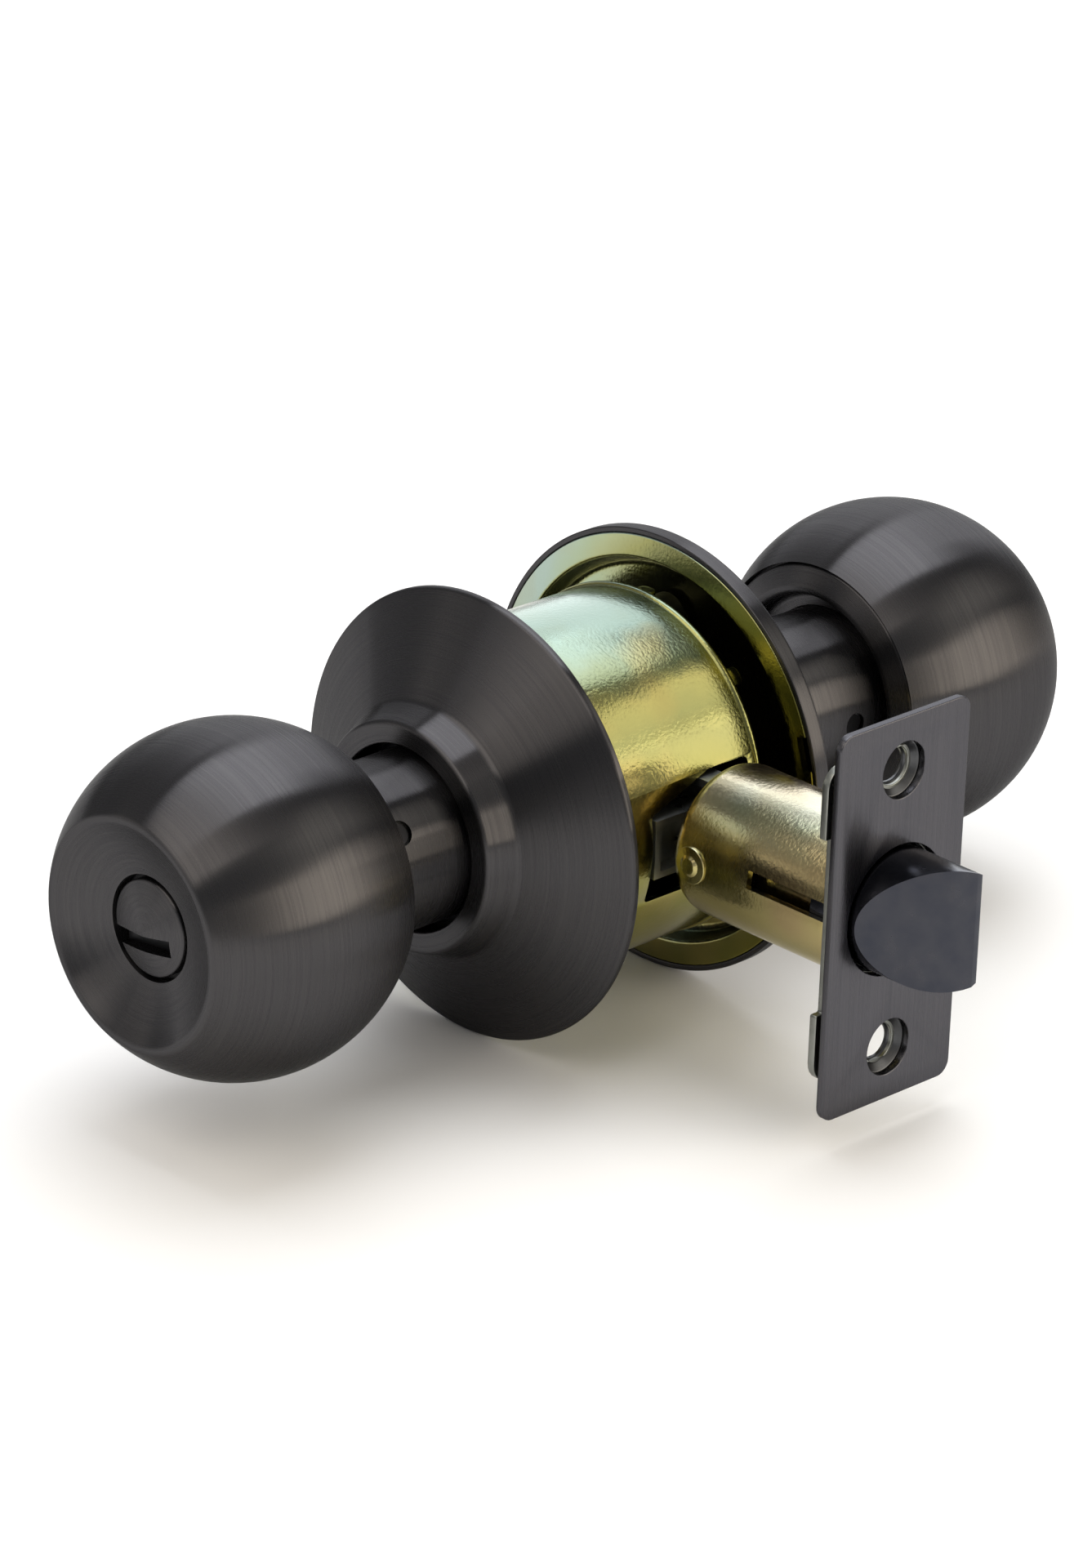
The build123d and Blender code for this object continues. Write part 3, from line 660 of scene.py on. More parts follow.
@dataclass(frozen=True)
class BlackNickel:
    """Black nickel plating over finely brushed sheet: dark grey metal with lights drawn out across the brushing."""

    name: str
    brush: Brush
    deep: str = "#444345"
    pale: str = "#494849"
    edge: str = "#c0c0c0"
    roughness: Span = (0.25, 0.29)
    anisotropy: float = 1.0
    quarter_turn: float = 0.25
    pitch: float = 0.3
    run: float = 30.0
    depth: float = 0.0012

    def build(self) -> Material:
        """Make the material.

        Returns:
            The material. A metal's roughness and colour change from one brush line to the next.
        """
        material, tree = blank_material(self.name)
        # The lines are drawn as coarse as they need to be to show. Their relief breaks up the edges of the
        # reflected lamps.
        lines = brush_lines(tree, self.brush, self.pitch, self.run)
        # The plating is a shade paler on the ridges that the brushing leaves, which keeps broad faces alive.
        shades = {0: spread(tree, lines, 0.0, 1.0), 6: srgb(self.deep), 7: srgb(self.pale)}
        colour = add_node(tree, "ShaderNodeMix", shades, data_type="RGBA")
        # The map's U runs along the brushing, and a quarter turn draws the lights out across it.
        tangent = add_node(tree, "ShaderNodeTangent", direction_type="UV_MAP", uv_map=UV_NAME)
        dull, bright = self.roughness[1], self.roughness[0]
        inputs = {
            "Base Color": colour,
            # Ridges are rubbed a little smoother, so that the lines show as faint streaks in the lights.
            "Roughness": spread(tree, lines, dull, bright),
            "Metallic": 1.0,
            "Anisotropic": self.anisotropy,
            "Anisotropic Rotation": self.quarter_turn,
            "Tangent": tangent,
            # The tint keeps the dark plating from turning bright where it is seen edge on.
            "Specular Tint": srgb(self.edge),
        }
        close_material(tree, lines, self.depth, inputs)
        return material


@dataclass(frozen=True)
class YellowZinc:
    """Yellow passivated zinc plating: a thin film, straw at the sides, with painted highlight that makes it paler
    and bluer towards the top and painted shade below.
    """

    name: str = "yellow passivated zinc plating"
    # Colours from the darkest, painted shade underneath, through the film's own straw tones at the sides, to the
    # palest, painted highlight on top.
    film_and_light: tuple[str, ...] = ("#84803f", "#7c7d53", "#93935f", "#a8a366", "#6c7355", "#747d66", "#7b8c82")
    stops: tuple[float, ...] = (0.5, 0.76, 0.81, 0.87, 0.905, 0.945, 0.995)
    pink: str = "#a09059"
    pink_span: Span = (-0.7, 0.7)
    # Share by which faces that look along Y are painted paler (painted highlight), and how fast a plate is painted
    # darker along X, per millimetre (painted shade).
    flat: float = 0.0
    lean_shade: float = 0.0
    roughness: Span = (0.15, 0.22)
    grain: float = 0.5
    drift: float = 11.0
    drift_share: float = 0.2
    patch: float = 0.6
    depth: float = 0.036

    def build(self) -> Material:
        """Make the material.

        Returns:
            The material. Its film drifts over some millimetres and its grain is that of zinc crystals.
        """
        material, tree = blank_material(self.name)
        add = partial(add_node, tree)
        place = add("ShaderNodeTexCoord").outputs
        spot = place["Object"]
        cloud = add("ShaderNodeTexNoise", {"Vector": spot, "Scale": 1 / (self.drift * MM), "Detail": 3.0})
        # Painted highlight and painted shade: faces that look up, and faces that look along Y by the flat share, are
        # painted paler, and a plate is painted darker towards +X by the lean, as a painted reflection of the dark
        # rose. So the colour follows the way a face looks and how far along the plate it is.
        look = add("ShaderNodeSeparateXYZ", {0: place["Normal"]}).outputs
        end = add("ShaderNodeMath", {0: look["Y"]}, operation="ABSOLUTE")
        painted_light = add("ShaderNodeMath", {0: end, 1: self.flat, 2: look["Z"]}, operation="MULTIPLY_ADD")
        along = add("ShaderNodeSeparateXYZ", {0: spot})
        painted_light = add("ShaderNodeMath", {0: along, 1: -self.lean_shade / MM, 2: painted_light}, operation="MULTIPLY_ADD")
        drifted = add(
            "ShaderNodeMath", {0: cloud, 1: self.drift_share, 2: -self.drift_share / 2}, operation="MULTIPLY_ADD"
        )
        film_and_light = add("ShaderNodeMath", {0: painted_light, 1: drifted}, operation="ADD")
        share = add("ShaderNodeMapRange", {"Value": film_and_light, "From Min": -1.0, "From Max": 1.0})
        ramp = add("ShaderNodeValToRGB", {0: share})
        elements = ramp.color_ramp.elements
        for position, colour in zip(self.stops, self.film_and_light):
            elements.new(position).color = srgb(colour)
        elements.remove(elements[-1])
        elements.remove(elements[0])
        # Pink clouds are where the film is thicker, as on all plating of this kind.
        patches = add("ShaderNodeTexNoise", {"Vector": spot, "Scale": self.patch / (self.drift * MM), "Detail": 2.0})
        tints = {0: spread(tree, patches, *self.pink_span), 6: ramp, 7: srgb(self.pink)}
        tinted = add("ShaderNodeMix", tints, data_type="RGBA")
        # Crystals of zinc scatter a lamp's edge into sparks, and dull the metal a little between them.
        grain = add("ShaderNodeTexNoise", {"Vector": spot, "Scale": 1 / (self.grain * MM), "Detail": 3.0})
        gloss = spread(tree, grain, *self.roughness)
        close_material(tree, grain, self.depth, {"Base Color": tinted, "Roughness": gloss, "Metallic": 1.0})
        return material


@dataclass(frozen=True)
class PlainMetal:
    """A metal with an even colour, fine grain and a slight mottling of its gloss."""

    name: str
    colour: str
    dull: str
    roughness: Span = (0.25, 0.4)
    grain: float = 0.6
    mottle: float = 3.0
    depth: float = 0.006

    def build(self) -> Material:
        """Make the material.

        Returns:
            The material.
        """
        material, tree = blank_material(self.name)
        add = partial(add_node, tree)
        place = add("ShaderNodeTexCoord").outputs["Object"]
        cloud = add("ShaderNodeTexNoise", {"Vector": place, "Scale": 1 / (self.mottle * MM), "Detail": 4.0})
        grain = add("ShaderNodeTexNoise", {"Vector": place, "Scale": 1 / (self.grain * MM), "Detail": 2.0})
        shades = {0: spread(tree, cloud, 0.0, 1.0), 6: srgb(self.colour), 7: srgb(self.dull)}
        colour = add("ShaderNodeMix", shades, data_type="RGBA")
        # Handling and the bath leave clouds some millimetres wide, darker and duller or paler and glossier, and
        # the grain, drawn coarse enough to show, keeps a lamp's edge from looking cut.
        gloss = spread(tree, cloud, *self.roughness)
        close_material(tree, grain, self.depth, {"Base Color": colour, "Roughness": gloss, "Metallic": 1.0})
        return material


@dataclass(frozen=True)
class MouldedNylon:
    """Black moulded nylon: matt, with the fine spark-eroded texture of its mould."""

    name: str = "moulded black nylon"
    colour: str = "#26262a"
    roughness: float = 0.55
    ior: float = 1.53
    grain: float = 0.3
    depth: float = 0.01

    def build(self) -> Material:
        """Make the material.

        Returns:
            The material.
        """
        material, tree = blank_material(self.name)
        place = add_node(tree, "ShaderNodeTexCoord").outputs["Object"]
        # The mould's sparked face leaves tiny pits, which make the plastic matt.
        spots = {"Vector": place, "Scale": 1 / (self.grain * MM), "Detail": 2.0}
        grain = add_node(tree, "ShaderNodeTexNoise", spots)
        inputs = {"Base Color": srgb(self.colour), "Roughness": self.roughness, "IOR": self.ior}
        close_material(tree, grain, self.depth, inputs)
        return material


class Finishes:
    """Every finish of the lock, built once."""

    def __init__(self) -> None:
        """Build the materials."""
        self.spun_black = BlackNickel("black nickel over sheet brushed in circles", Brush.ROUND).build()
        self.plate_black = BlackNickel(
            "black nickel over sheet brushed lengthwise", Brush.UPRIGHT, "#4f4f53", "#555458", anisotropy=0.5
        ).build()
        self.bolt_black = PlainMetal(
            "black nickel over a smooth cast bolt", "#3c3e46", "#45464c", roughness=(0.2, 0.28), depth=0.003
        ).build()
        # The film colours follow the way each face looks: painted highlight on faces that look up, and a painted
        # shade band below it.
        self.yellow_zinc = YellowZinc().build()
        # Painted highlight on its faces that look along Y, and painted shade darker along X, where the plate
        # reflects the dark rose.
        self.plate_zinc = YellowZinc(
            "yellow passivated zinc plating on a flat plate",
            ("#84803f", "#7c7d53", "#93935f", "#a0a67f", "#9fab8c", "#9fae97", "#9fb0a5"),
            flat=0.52,
            lean_shade=0.0215,
        ).build()
        # Its colours paint the tube's reflections: painted reflection bright underneath, a painted shade band in the
        # middle and painted highlight on top.
        self.tube_zinc = YellowZinc(
            "yellow passivated zinc plating on a drawn tube",
            ("#b3a871", "#bcae80", "#a8a47e", "#87896e", "#82866e", "#a3a590", "#b5b5a6"),
            pink="#b09a72",
            roughness=(0.16, 0.24),
        ).build()
        self.plate_clear = PlainMetal("clear zinc plating on the backing plate", "#8f918c", "#7c7e79").build()
        # Painted shade: the dimples, seen down the faceplate's screw holes, are painted darker than the other zinc.
        self.shaded_dimple_zinc = PlainMetal("zinc plating dulled where screws sit", "#565759", "#48494b").build()
        self.clear_zinc = PlainMetal("clear passivated zinc plating", "#c3c6c4", "#aeb2b0").build()
        self.spring_steel = PlainMetal("drawn spring steel wire", "#9a9a9c", "#86868a").build()
        # Painted shade: near-black steel for the end plates and catches, which sit in the dark gaps round the necks,
        # and for the floor of the release turn's slot.
        self.dark_steel = PlainMetal("phosphated steel", "#2b2b2d", "#222224", roughness=(0.35, 0.5)).build()
        self.nylon = MouldedNylon().build()


# Sub-assemblies


@dataclass(frozen=True)
class Assembly:
    """Pieces that are made together, and what it takes to make them."""

    trees: Trees
    finishes: Finishes

    def spin(
        self, name: str, section: Sequence[Point], material: Material, segments: int, place: Matrix = IN_PLACE
    ) -> Object:
        """Turn a closed section about the knobs' axis, or about another with a place.

        Args:
            name: Name of the piece.
            section: Points of the section, as radius and station.
            material: Its finish.
            segments: Number of steps round the axis.
            place: A turn or a move that is done after it, in metres.

        Returns:
            The piece.
        """
        mesh = bpy.data.meshes.new(name)
        count = len(section)
        corners = [(radius * MM, station * MM, 0.0) for radius, station in section]
        mesh.from_pydata(corners, [(i, (i + 1) % count) for i in range(count)], [])
        piece = new_object(name, mesh)
        grow(self.trees.spun, piece, {"Rows": count, "Segments": segments, "Material": material})
        piece.data.transform(place)
        turn_outwards(piece.data)
        return piece

    def repeat(self, piece: Object, count: int, turn: Triple, material: Material) -> None:
        """Add copies to a piece, each turned on from the last about the origin."""
        grow(self.trees.copies, piece, {"Count": count, "Turn": turn, "Material": material})

    def keep(self, piece: Object, body: str, slot: str, *nodes: str) -> None:
        """Tell the frame what a finished piece rides on, and hide the nodes it stands for.

        Args:
            piece: The piece.
            body: The CAD body that it moves with.
            slot: The record's material slot; not used.
            *nodes: CAD nodes that it replaces.
        """
        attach(piece, body)
        if nodes:
            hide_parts(*nodes)
        LOG.info("%s: %d faces, rides on %s", piece.name, len(piece.data.polygons), body)


@dataclass(frozen=True)
class KnobSide(Assembly):
    """The knob, collar and neck on one side of the door, with stations measured outwards."""

    side: Side
    knob: float
    hub_end: float
    catch: float
    catch_angle: float
    ball: float = 24.9
    wall: float = 0.9
    dish_rim: float = 16.3
    dish_floor: float = 7.6
    dish_depth: float = 3.9
    dish_round: float = 1.2
    lip: float = 3.0
    steps: Triple = (2.0, 10.0, 1.5)
    shell_segments: int = 224
    segments: int = 160
    back: float = 19.5
    back_station: float = -15.2
    collar_edge: float = 0.4
    collar_seat: float = -13.4
    collar_nose: float = 15.0
    collar_nose_end: float = -16.9
    collar_floor: float = -13.1
    collar_rounds: tuple[float, ...] = (0.1, 0.5, 1.0, 1.0)
    sheet_edge: float = 0.2
    neck: float = 12.4
    neck_bore: float = 11.5
    neck_edge: float = 0.15
    neck_off_hub: float = 0.6
    neck_into_knob: float = 6.0
    catch_hole: float = 1.8

    @property
    def rim_station(self) -> float:
        """Station of the dish's rim, from the knob's centre."""
        return math.sqrt(self.ball**2 - self.dish_rim**2)

    @property
    def floor(self) -> float:
        """Station of the dish's floor, from the knob's centre."""
        return self.rim_station - self.dish_depth

    def shell_line(self, inset: float) -> list[Point]:
        """Line along the shell from its back opening to the lip in the dish.

        Args:
            inset: Depth below the shown face.

        Returns:
            Its points.
        """
        chord = self.dish_rim**2 - self.dish_floor**2
        centre = chord / (2 * self.dish_depth) + (self.rim_station + self.floor) / 2
        bowl = math.hypot(self.dish_floor, centre - self.floor)
        near, far = self.ball - self.dish_round, bowl + self.dish_round
        station = (near**2 - far**2 + centre**2) / (2 * centre)
        reach = math.sqrt(near**2 - station**2)
        ball, dish, bend = self.ball - inset, bowl + inset, self.dish_round - inset
        back_angle = math.degrees(math.acos(self.back / ball))
        start = math.degrees(math.atan2(station, reach))
        end = math.degrees(math.atan2(centre - station, -reach))
        floor_radius = self.dish_floor + inset
        low = math.degrees(math.atan2(-math.sqrt(dish**2 - floor_radius**2), floor_radius))
        high = math.degrees(math.atan2(station - centre, reach))
        ball_step, bend_step, bowl_step = self.steps
        line = arc((0, 0), ball, -back_angle, start, ball_step)
        line += arc((reach, station), bend, start, end, bend_step)[1:]
        line += arc((0, centre), dish, high, low, bowl_step)[1:]
        return line + [(floor_radius, self.floor - self.lip)]

    def build(self) -> None:
        """Make the knob, its collar and its neck with the hole for the catch."""
        label, way, black = self.side.label, self.side.value, self.finishes.spun_black
        shell = self.shell_line(0.0) + list(reversed(self.shell_line(self.wall)))
        knob = self.spin(f"{label}_knob_shell", set_out(shell, self.knob, way), black, self.shell_segments)
        collar_line = [
            (self.back + self.collar_edge, self.collar_seat), (self.back - self.collar_edge, self.collar_seat),
            (self.back - self.collar_edge, self.back_station), (self.collar_nose, self.collar_nose_end),
            (self.collar_nose - self.collar_edge, self.collar_floor), (self.neck, self.collar_floor),
        ]
        section = sheet_section(collar_line, self.collar_rounds, -self.wall, self.sheet_edge)
        collar = self.spin(f"{label}_knob_back", set_out(section, self.knob, way), black, self.segments)
        start, end = self.hub_end + self.neck_off_hub, self.knob - self.neck_into_knob
        tube = rounded_loop(
            [(self.neck_bore, start), (self.neck, start), (self.neck, end), (self.neck_bore, end)],
            [self.neck_edge] * 4,
        )
        neck = self.spin(f"{label}_neck_tube", set_out(tube, 0.0, way), black, self.segments)
        turn = (
            Matrix.Rotation(-math.radians(self.catch_angle), 4, "Y")
            @ Matrix.Translation((0, way * self.catch * MM, 0))
            @ Matrix.Rotation(math.pi / 2, 4, "Y")
        )
        carve(neck, rod(self.catch_hole, self.neck / 2, 2 * self.neck, turn))
        for piece, node in ((knob, "knob"), (collar, "knob_collar"), (neck, "knob_neck")):
            self.keep(piece, f"{label}_knob_body", "black_nickel", f"{label}_{node}")


@dataclass(frozen=True)
class ReleaseTurn(Assembly):
    """Slotted disc in the dish of the outer knob, with its barrel."""

    knob: float
    floor: float
    radius: float = 6.9
    proud: float = 1.45
    thickness: float = 2.0
    barrel: float = 5.0
    barrel_end: float = 1.6
    rounds: tuple[float, ...] = (0, 0.2, 0, 0.15, 0.35, 0)
    segments: int = 128
    slot_width: float = 2.4
    slot_depth: float = 1.5
    slot_end: float = 4.4
    slot_drop: float = 2.0
    slot_tilt: float = 7.0
    slot_shade_thickness: float = 0.12
    slot_inset: float = 0.02

    def build(self) -> None:
        """Make the disc, and a thin near-black sheet on the floor of its slot, painted shade in the slot."""
        back = self.floor - self.thickness
        corners = [
            (0.0, self.barrel_end), (self.barrel, self.barrel_end), (self.barrel, back), (self.radius, back),
            (self.radius, self.floor), (0.0, self.floor + self.proud),
        ]
        section = set_out(rounded_loop(corners, self.rounds), self.knob, -1)
        disc = self.spin("slotted_release_turn", section, self.finishes.spun_black, self.segments)
        face = -(self.knob + self.floor)
        turn = Matrix.Rotation(-math.radians(self.slot_tilt), 4, "Y")
        low, high = -self.slot_drop - self.slot_width / 2, -self.slot_drop + self.slot_width / 2
        depth = face + self.slot_depth
        carve(disc, block((-2 * self.radius, self.slot_end), (face - 2 * self.proud, depth), (low, high), turn))
        self.keep(disc, "release_turn_body", "black_nickel", "release_turn")
        # Painted shade: a thin near-black sheet lies on the slot's floor, where the slot is in shadow.
        inset = self.slot_inset
        reach = math.sqrt(self.radius**2 - low**2)
        floor = block(
            (inset - reach, self.slot_end - inset), (depth - self.slot_shade_thickness, depth - inset),
            (low + inset, high - inset),
            turn,
        )
        floor.name = floor.data.name = "release_slot_painted_shade"
        floor.data.materials.append(self.finishes.dark_steel)
        self.keep(floor, "release_turn_body", "dark_steel")


@dataclass(frozen=True)
class PushButton(Assembly):
    """Round-edged button in the dish of the inner knob."""

    knob: float
    floor: float
    radius: float = 5.4
    proud: float = 4.7
    length: float = 8.2
    edge: float = 1.2
    foot_edge: float = 0.2
    segments: int = 96

    def build(self) -> None:
        """Make the button."""
        front = self.knob + self.floor + self.proud
        back = front - self.length
        corners = [(0.0, back), (self.radius, back), (self.radius, front), (0.0, front)]
        section = rounded_loop(corners, [0, self.foot_edge, self.edge, 0])
        cap = self.spin("push_button_cap", section, self.finishes.spun_black, self.segments)
        self.keep(cap, "push_button_body", "black_nickel", "push_button")


@dataclass(frozen=True)
class Rose(Assembly):
    """Spun cover plate round the neck, on one side of the door."""

    side: Side
    seat: float
    rim: float
    radius: float = 32.75
    wall: float = 0.8
    fold: float = 18.4
    flange: float = 7.94
    lip: float = 16.7
    hub: float = 4.56
    hole: float = 13.6
    rim_share: float = 0.9
    segments: int = 224
    rounds: Triple = (0.9, 1.6, 0.9)
    sheet_edge: float = 0.2

    def build(self) -> None:
        """Make the cover."""
        fold_height = self.rim + self.flange
        line = [
            (self.radius, 0.0), (self.radius, self.rim), (self.fold, fold_height),
            (self.lip, fold_height + self.hub), (self.hole, fold_height + self.hub),
        ]
        rim_round = min(self.rounds[0], self.rim_share * self.rim)
        section = sheet_section(line, [rim_round, *self.rounds[1:]], self.wall, self.sheet_edge)
        placed = set_out(section, self.seat, self.side.value)
        label = self.side.label
        cover = self.spin(f"{label}_rose_cover", placed, self.finishes.spun_black, self.segments)
        self.keep(cover, "chassis", "black_nickel", f"{label}_rose")


@dataclass(frozen=True)
class Chassis(Assembly):
    """Drum with its staking tabs, and the mounting plate under the inner rose."""

    segments: int = 192
    radius: float = 25.4
    wall: float = 1.0
    outer_end: float = -20.6
    inner_end: float = 10.0
    bead: float = 0.7
    bead_arc: Span = (-60.0, 90.0)
    bead_step: float = 10.0
    burr: float = 0.25
    burr_limit: float = 60.0
    tab_count: int = 8
    tab_steps: int = 6
    tab_width: float = 2.8
    tab_height: float = 1.7
    tab_drop: float = 0.5
    tab_edge: float = 0.2
    window: tuple[Point, ...] = ((-11.9, -8.3), (7.6, -8.3), (7.6, 8.7), (0.0, 8.7), (-11.9, 5.0))
    window_round: float = 0.8
    window_start: float = 5.0
    plate_seat: float = 13.2
    plate_radius: float = 31.9
    plate_step: float = 28.4
    plate_run: float = 1.0
    plate_depth: float = 3.2
    plate_wall: float = 1.0
    plate_hole: float = 13.5
    plate_rounds: Span = (0.6, 1.4)
    plate_edge: float = 0.25
    notch_angle: float = 17.0
    notch_width: float = 5.0
    notch_depth: float = 1.8
    post_orbit: float = 20.0
    screw_hole: float = 2.2

    def drum(self) -> None:
        """Make the drum with its rolled rim and its window."""
        bore = self.radius - self.wall
        centre = (self.radius - self.bead / 2, self.inner_end - self.bead)
        section = [(bore, self.inner_end), (bore, self.outer_end), (self.radius, self.outer_end)]
        section += arc(centre, self.bead, *self.bead_arc, self.bead_step)
        drum = self.spin("lock_drum", section, self.finishes.yellow_zinc, self.segments)
        outline = rounded_loop(self.window, [self.window_round] * len(self.window))
        carve(drum, prism(outline, self.window_start, 2 * self.radius, FACING_EDGE))
        soften(drum, self.burr, limit=self.burr_limit)
        self.keep(drum, "chassis", "yellow_zinc", "chassis_drum")

    def tabs(self) -> None:
        """Make the ring of bent-over tabs that hold the end plate in the drum."""
        bore, half = self.radius - self.wall, self.tab_width / 2
        top, low = self.inner_end + self.tab_height, self.inner_end - self.wall
        shape = bmesh.new()
        for i in range(self.tab_steps + 1):
            z = half * (2 * i / self.tab_steps - 1)
            # The end of the tab is flat in the middle and falls away at its corners.
            height = top - self.tab_drop * (z / half) ** 4
            for radius, station in ((bore, low), (bore, height), (self.radius, height), (self.radius, low)):
                shape.verts.new((math.sqrt(radius**2 - z**2) * MM, station * MM, z * MM))
        shape.verts.ensure_lookup_table()
        for i in range(0, 4 * self.tab_steps, 4):
            here, there = shape.verts[i : i + 4], shape.verts[i + 4 : i + 8]
            for j in range(4):
                shape.faces.new((here[j], here[(j + 1) % 4], there[(j + 1) % 4], there[j]))
        for end in (shape.verts[:4], shape.verts[-4:]):
            shape.faces.new(end)
        bmesh.ops.recalc_face_normals(shape, faces=shape.faces)
        tab = shaped("drum_tabs", shape)
        soften(tab, self.tab_edge)
        self.repeat(tab, self.tab_count, (0.0, -math.tau / self.tab_count, 0.0), self.finishes.yellow_zinc)
        self.keep(tab, "chassis", "yellow_zinc")

    def plate(self) -> None:
        """Make the dished mounting plate with its screw holes and the notches in its rim."""
        line = [
            (self.plate_radius, 0.0), (self.plate_step, 0.0),
            (self.plate_step - self.plate_run, self.plate_depth), (self.plate_hole, self.plate_depth),
        ]
        section = sheet_section(line, self.plate_rounds, -self.plate_wall, self.plate_edge)
        placed = set_out(section, self.plate_seat)
        plate = self.spin("inner_mounting_plate", placed, self.finishes.plate_zinc, self.segments)
        far = self.plate_seat + 3 * self.plate_depth
        lay = Matrix.Rotation(-math.pi / 2, 4, "X")
        half = self.notch_width / 2
        cutters = []
        for end in (-1, 1):
            spot = Matrix.Translation((0, 0, end * self.post_orbit * MM))
            cutters.append(rod(self.screw_hole, self.plate_seat, far, spot @ lay))
        for half_turn in (0, 180):
            turn = Matrix.Rotation(-math.radians(self.notch_angle + half_turn), 4, "Y")
            across = (self.plate_radius - self.notch_depth, self.plate_radius + self.plate_wall)
            cutters.append(block(across, (self.plate_seat - self.plate_wall, far), (-half, half), turn))
        carve(plate, *cutters)
        self.keep(plate, "chassis", "yellow_zinc", "mounting_plate")

    def build(self) -> None:
        """Make the pieces."""
        for make in (self.drum, self.tabs, self.plate):
            make()


@dataclass(frozen=True)
class Latch(Assembly):
    """Tube, rivets, plates and bolt."""

    half_turn: Triple = (math.pi, 0.0, 0.0)
    tube_segments: int = 160
    bolt_segments: int = 120
    dimple_segments: int = 64
    rivet_segments: int = 48
    backset: float = 60.3
    plate_width: float = 25.4
    plate_height: float = 57.0
    plate_thickness: float = 1.2
    plate_corner: float = 2.2
    plate_edge: float = 0.2
    plate_gap: float = 0.8
    hole_spacing: float = 41.3
    hole: float = 4.1
    back_thickness: float = 1.2
    back_height: float = 46.6
    back_waist: float = 22.4
    back_waist_height: float = 26.0
    back_corner: float = 3.0
    back_waist_corner: float = 0.3
    back_edge: float = 0.15
    edge_steps: int = 3
    back_hole: float = 2.5
    back_hole_gap: float = 0.3
    dimple_rim: float = 1.0
    dimple_sink: float = 0.2
    dimple_foot: float = 0.5
    dimple_rounds: tuple[float, ...] = (0.1, 0.4, 0.3, 0.4, 0.2, 0.1)
    tube: float = 11.1
    tube_wall: float = 1.0
    tube_rear: float = 27.5
    tube_shoulder: float = 2.5
    tube_hole: float = 3.4
    tube_hole_edge: float = 0.2
    tube_end_edge: float = 0.15
    slot: Triple = (42.6, 0.2, 2.8)
    bolt: float = 9.0
    bolt_gap: float = 0.5
    throw: float = 12.1
    flat: float = 4.05
    bevel_start: float = 0.7
    bulge: float = 1.0
    bulge_steps: int = 24
    blunt: float = 0.5
    tip_corner: float = 1.6
    tip_step: float = 8.0
    bolt_edge: float = 0.45
    bolt_edge_limit: float = 28.0
    bolt_edge_steps: int = 4
    collar_length: float = 3.4
    collar_gap: float = 0.1
    collar_edge: float = 0.2
    stop_gap: float = 0.3
    rear: float = 8.6
    rear_length: float = 11.2
    rear_gap: float = 0.02
    bore: float = 5.2
    bore_end: float = 57.0
    rivet_station: float = 32.0
    rivet_height: float = 0.7
    rivet_foot: tuple[Point, ...] = ((0.0, 8.8), (1.4, 8.8), (1.4, 10.2), (2.7, 10.2))
    rivet_head: tuple[Point, ...] = ((2.7, -0.5), (1.6, -0.35), (1.1, 0.0), (0.0, 0.0))
    rivet_rounds: tuple[float, ...] = (0, 0, 0, 0, 0.15, 0.3, 0.4, 0)

    @property
    def plate_back(self) -> float:
        """Station of the faceplate's rear face."""
        return self.backset - self.plate_thickness

    @property
    def back_front(self) -> float:
        """Station of the front face of the plate behind it."""
        return self.plate_back - self.plate_gap

    @property
    def back_back(self) -> float:
        """Station of the rear face of the plate behind it."""
        return self.back_front - self.back_thickness

    @property
    def collar(self) -> float:
        """Station of the rear of the bolt's collar."""
        return self.back_back - self.stop_gap - self.collar_length

    def flat_plate(
        self, name: str, outline: list[Point], hole: float, span: Span, edge: float, material: Material
    ) -> Object:
        """Make a flat plate across the latch's axis, with softened edges, a hole for the bolt and two for screws.

        Args:
            name: Name of the piece.
            outline: Its outline, as Y and Z.
            hole: Radius of its screw holes.
            span: Stations of its rear and its front face.
            edge: Rounding of its edges.
            material: Its finish.

        Returns:
            The piece.
        """
        low, high = span
        curve = bpy.data.curves.new(name, "CURVE")
        curve.dimensions = "2D"
        curve.fill_mode = "BOTH"
        curve.extrude = ((high - low) / 2 - edge) * MM
        curve.bevel_depth = edge * MM
        curve.bevel_resolution = self.edge_steps
        curve.offset = -edge * MM
        screws = [circle(hole, end * self.hole_spacing / 2) for end in (-1, 1)]
        for loop in (outline, circle(self.bolt + self.bolt_gap), *screws):
            spline = curve.splines.new("POLY")
            spline.points.add(len(loop) - 1)
            for spot, (y, z) in zip(spline.points, loop):
                spot.co = (y * MM, z * MM, 0, 1)
            spline.use_cyclic_u = True
        drawn = bpy.data.objects.new(name, curve)
        bpy.context.scene.collection.objects.link(drawn)
        mesh = flat_mesh(drawn)
        bpy.data.objects.remove(drawn)
        shape = bmesh.new()
        shape.from_mesh(mesh)
        bmesh.ops.remove_doubles(shape, verts=shape.verts, dist=WELD)
        bmesh.ops.recalc_face_normals(shape, faces=shape.faces)
        layer = shape.loops.layers.uv.new(UV_NAME)
        for face in shape.faces:
            for loop in face.loops:
                # U runs along the brushing, which is lengthwise.
                across, along, _ = loop.vert.co / MM
                loop[layer].uv = (along / self.plate_height, across / self.plate_width)
        piece = shaped(name, shape, Matrix.Translation(((low + high) / 2 * MM, 0, 0)) @ FACING_EDGE)
        piece.data.materials.append(material)
        smooth(piece.data)
        return piece

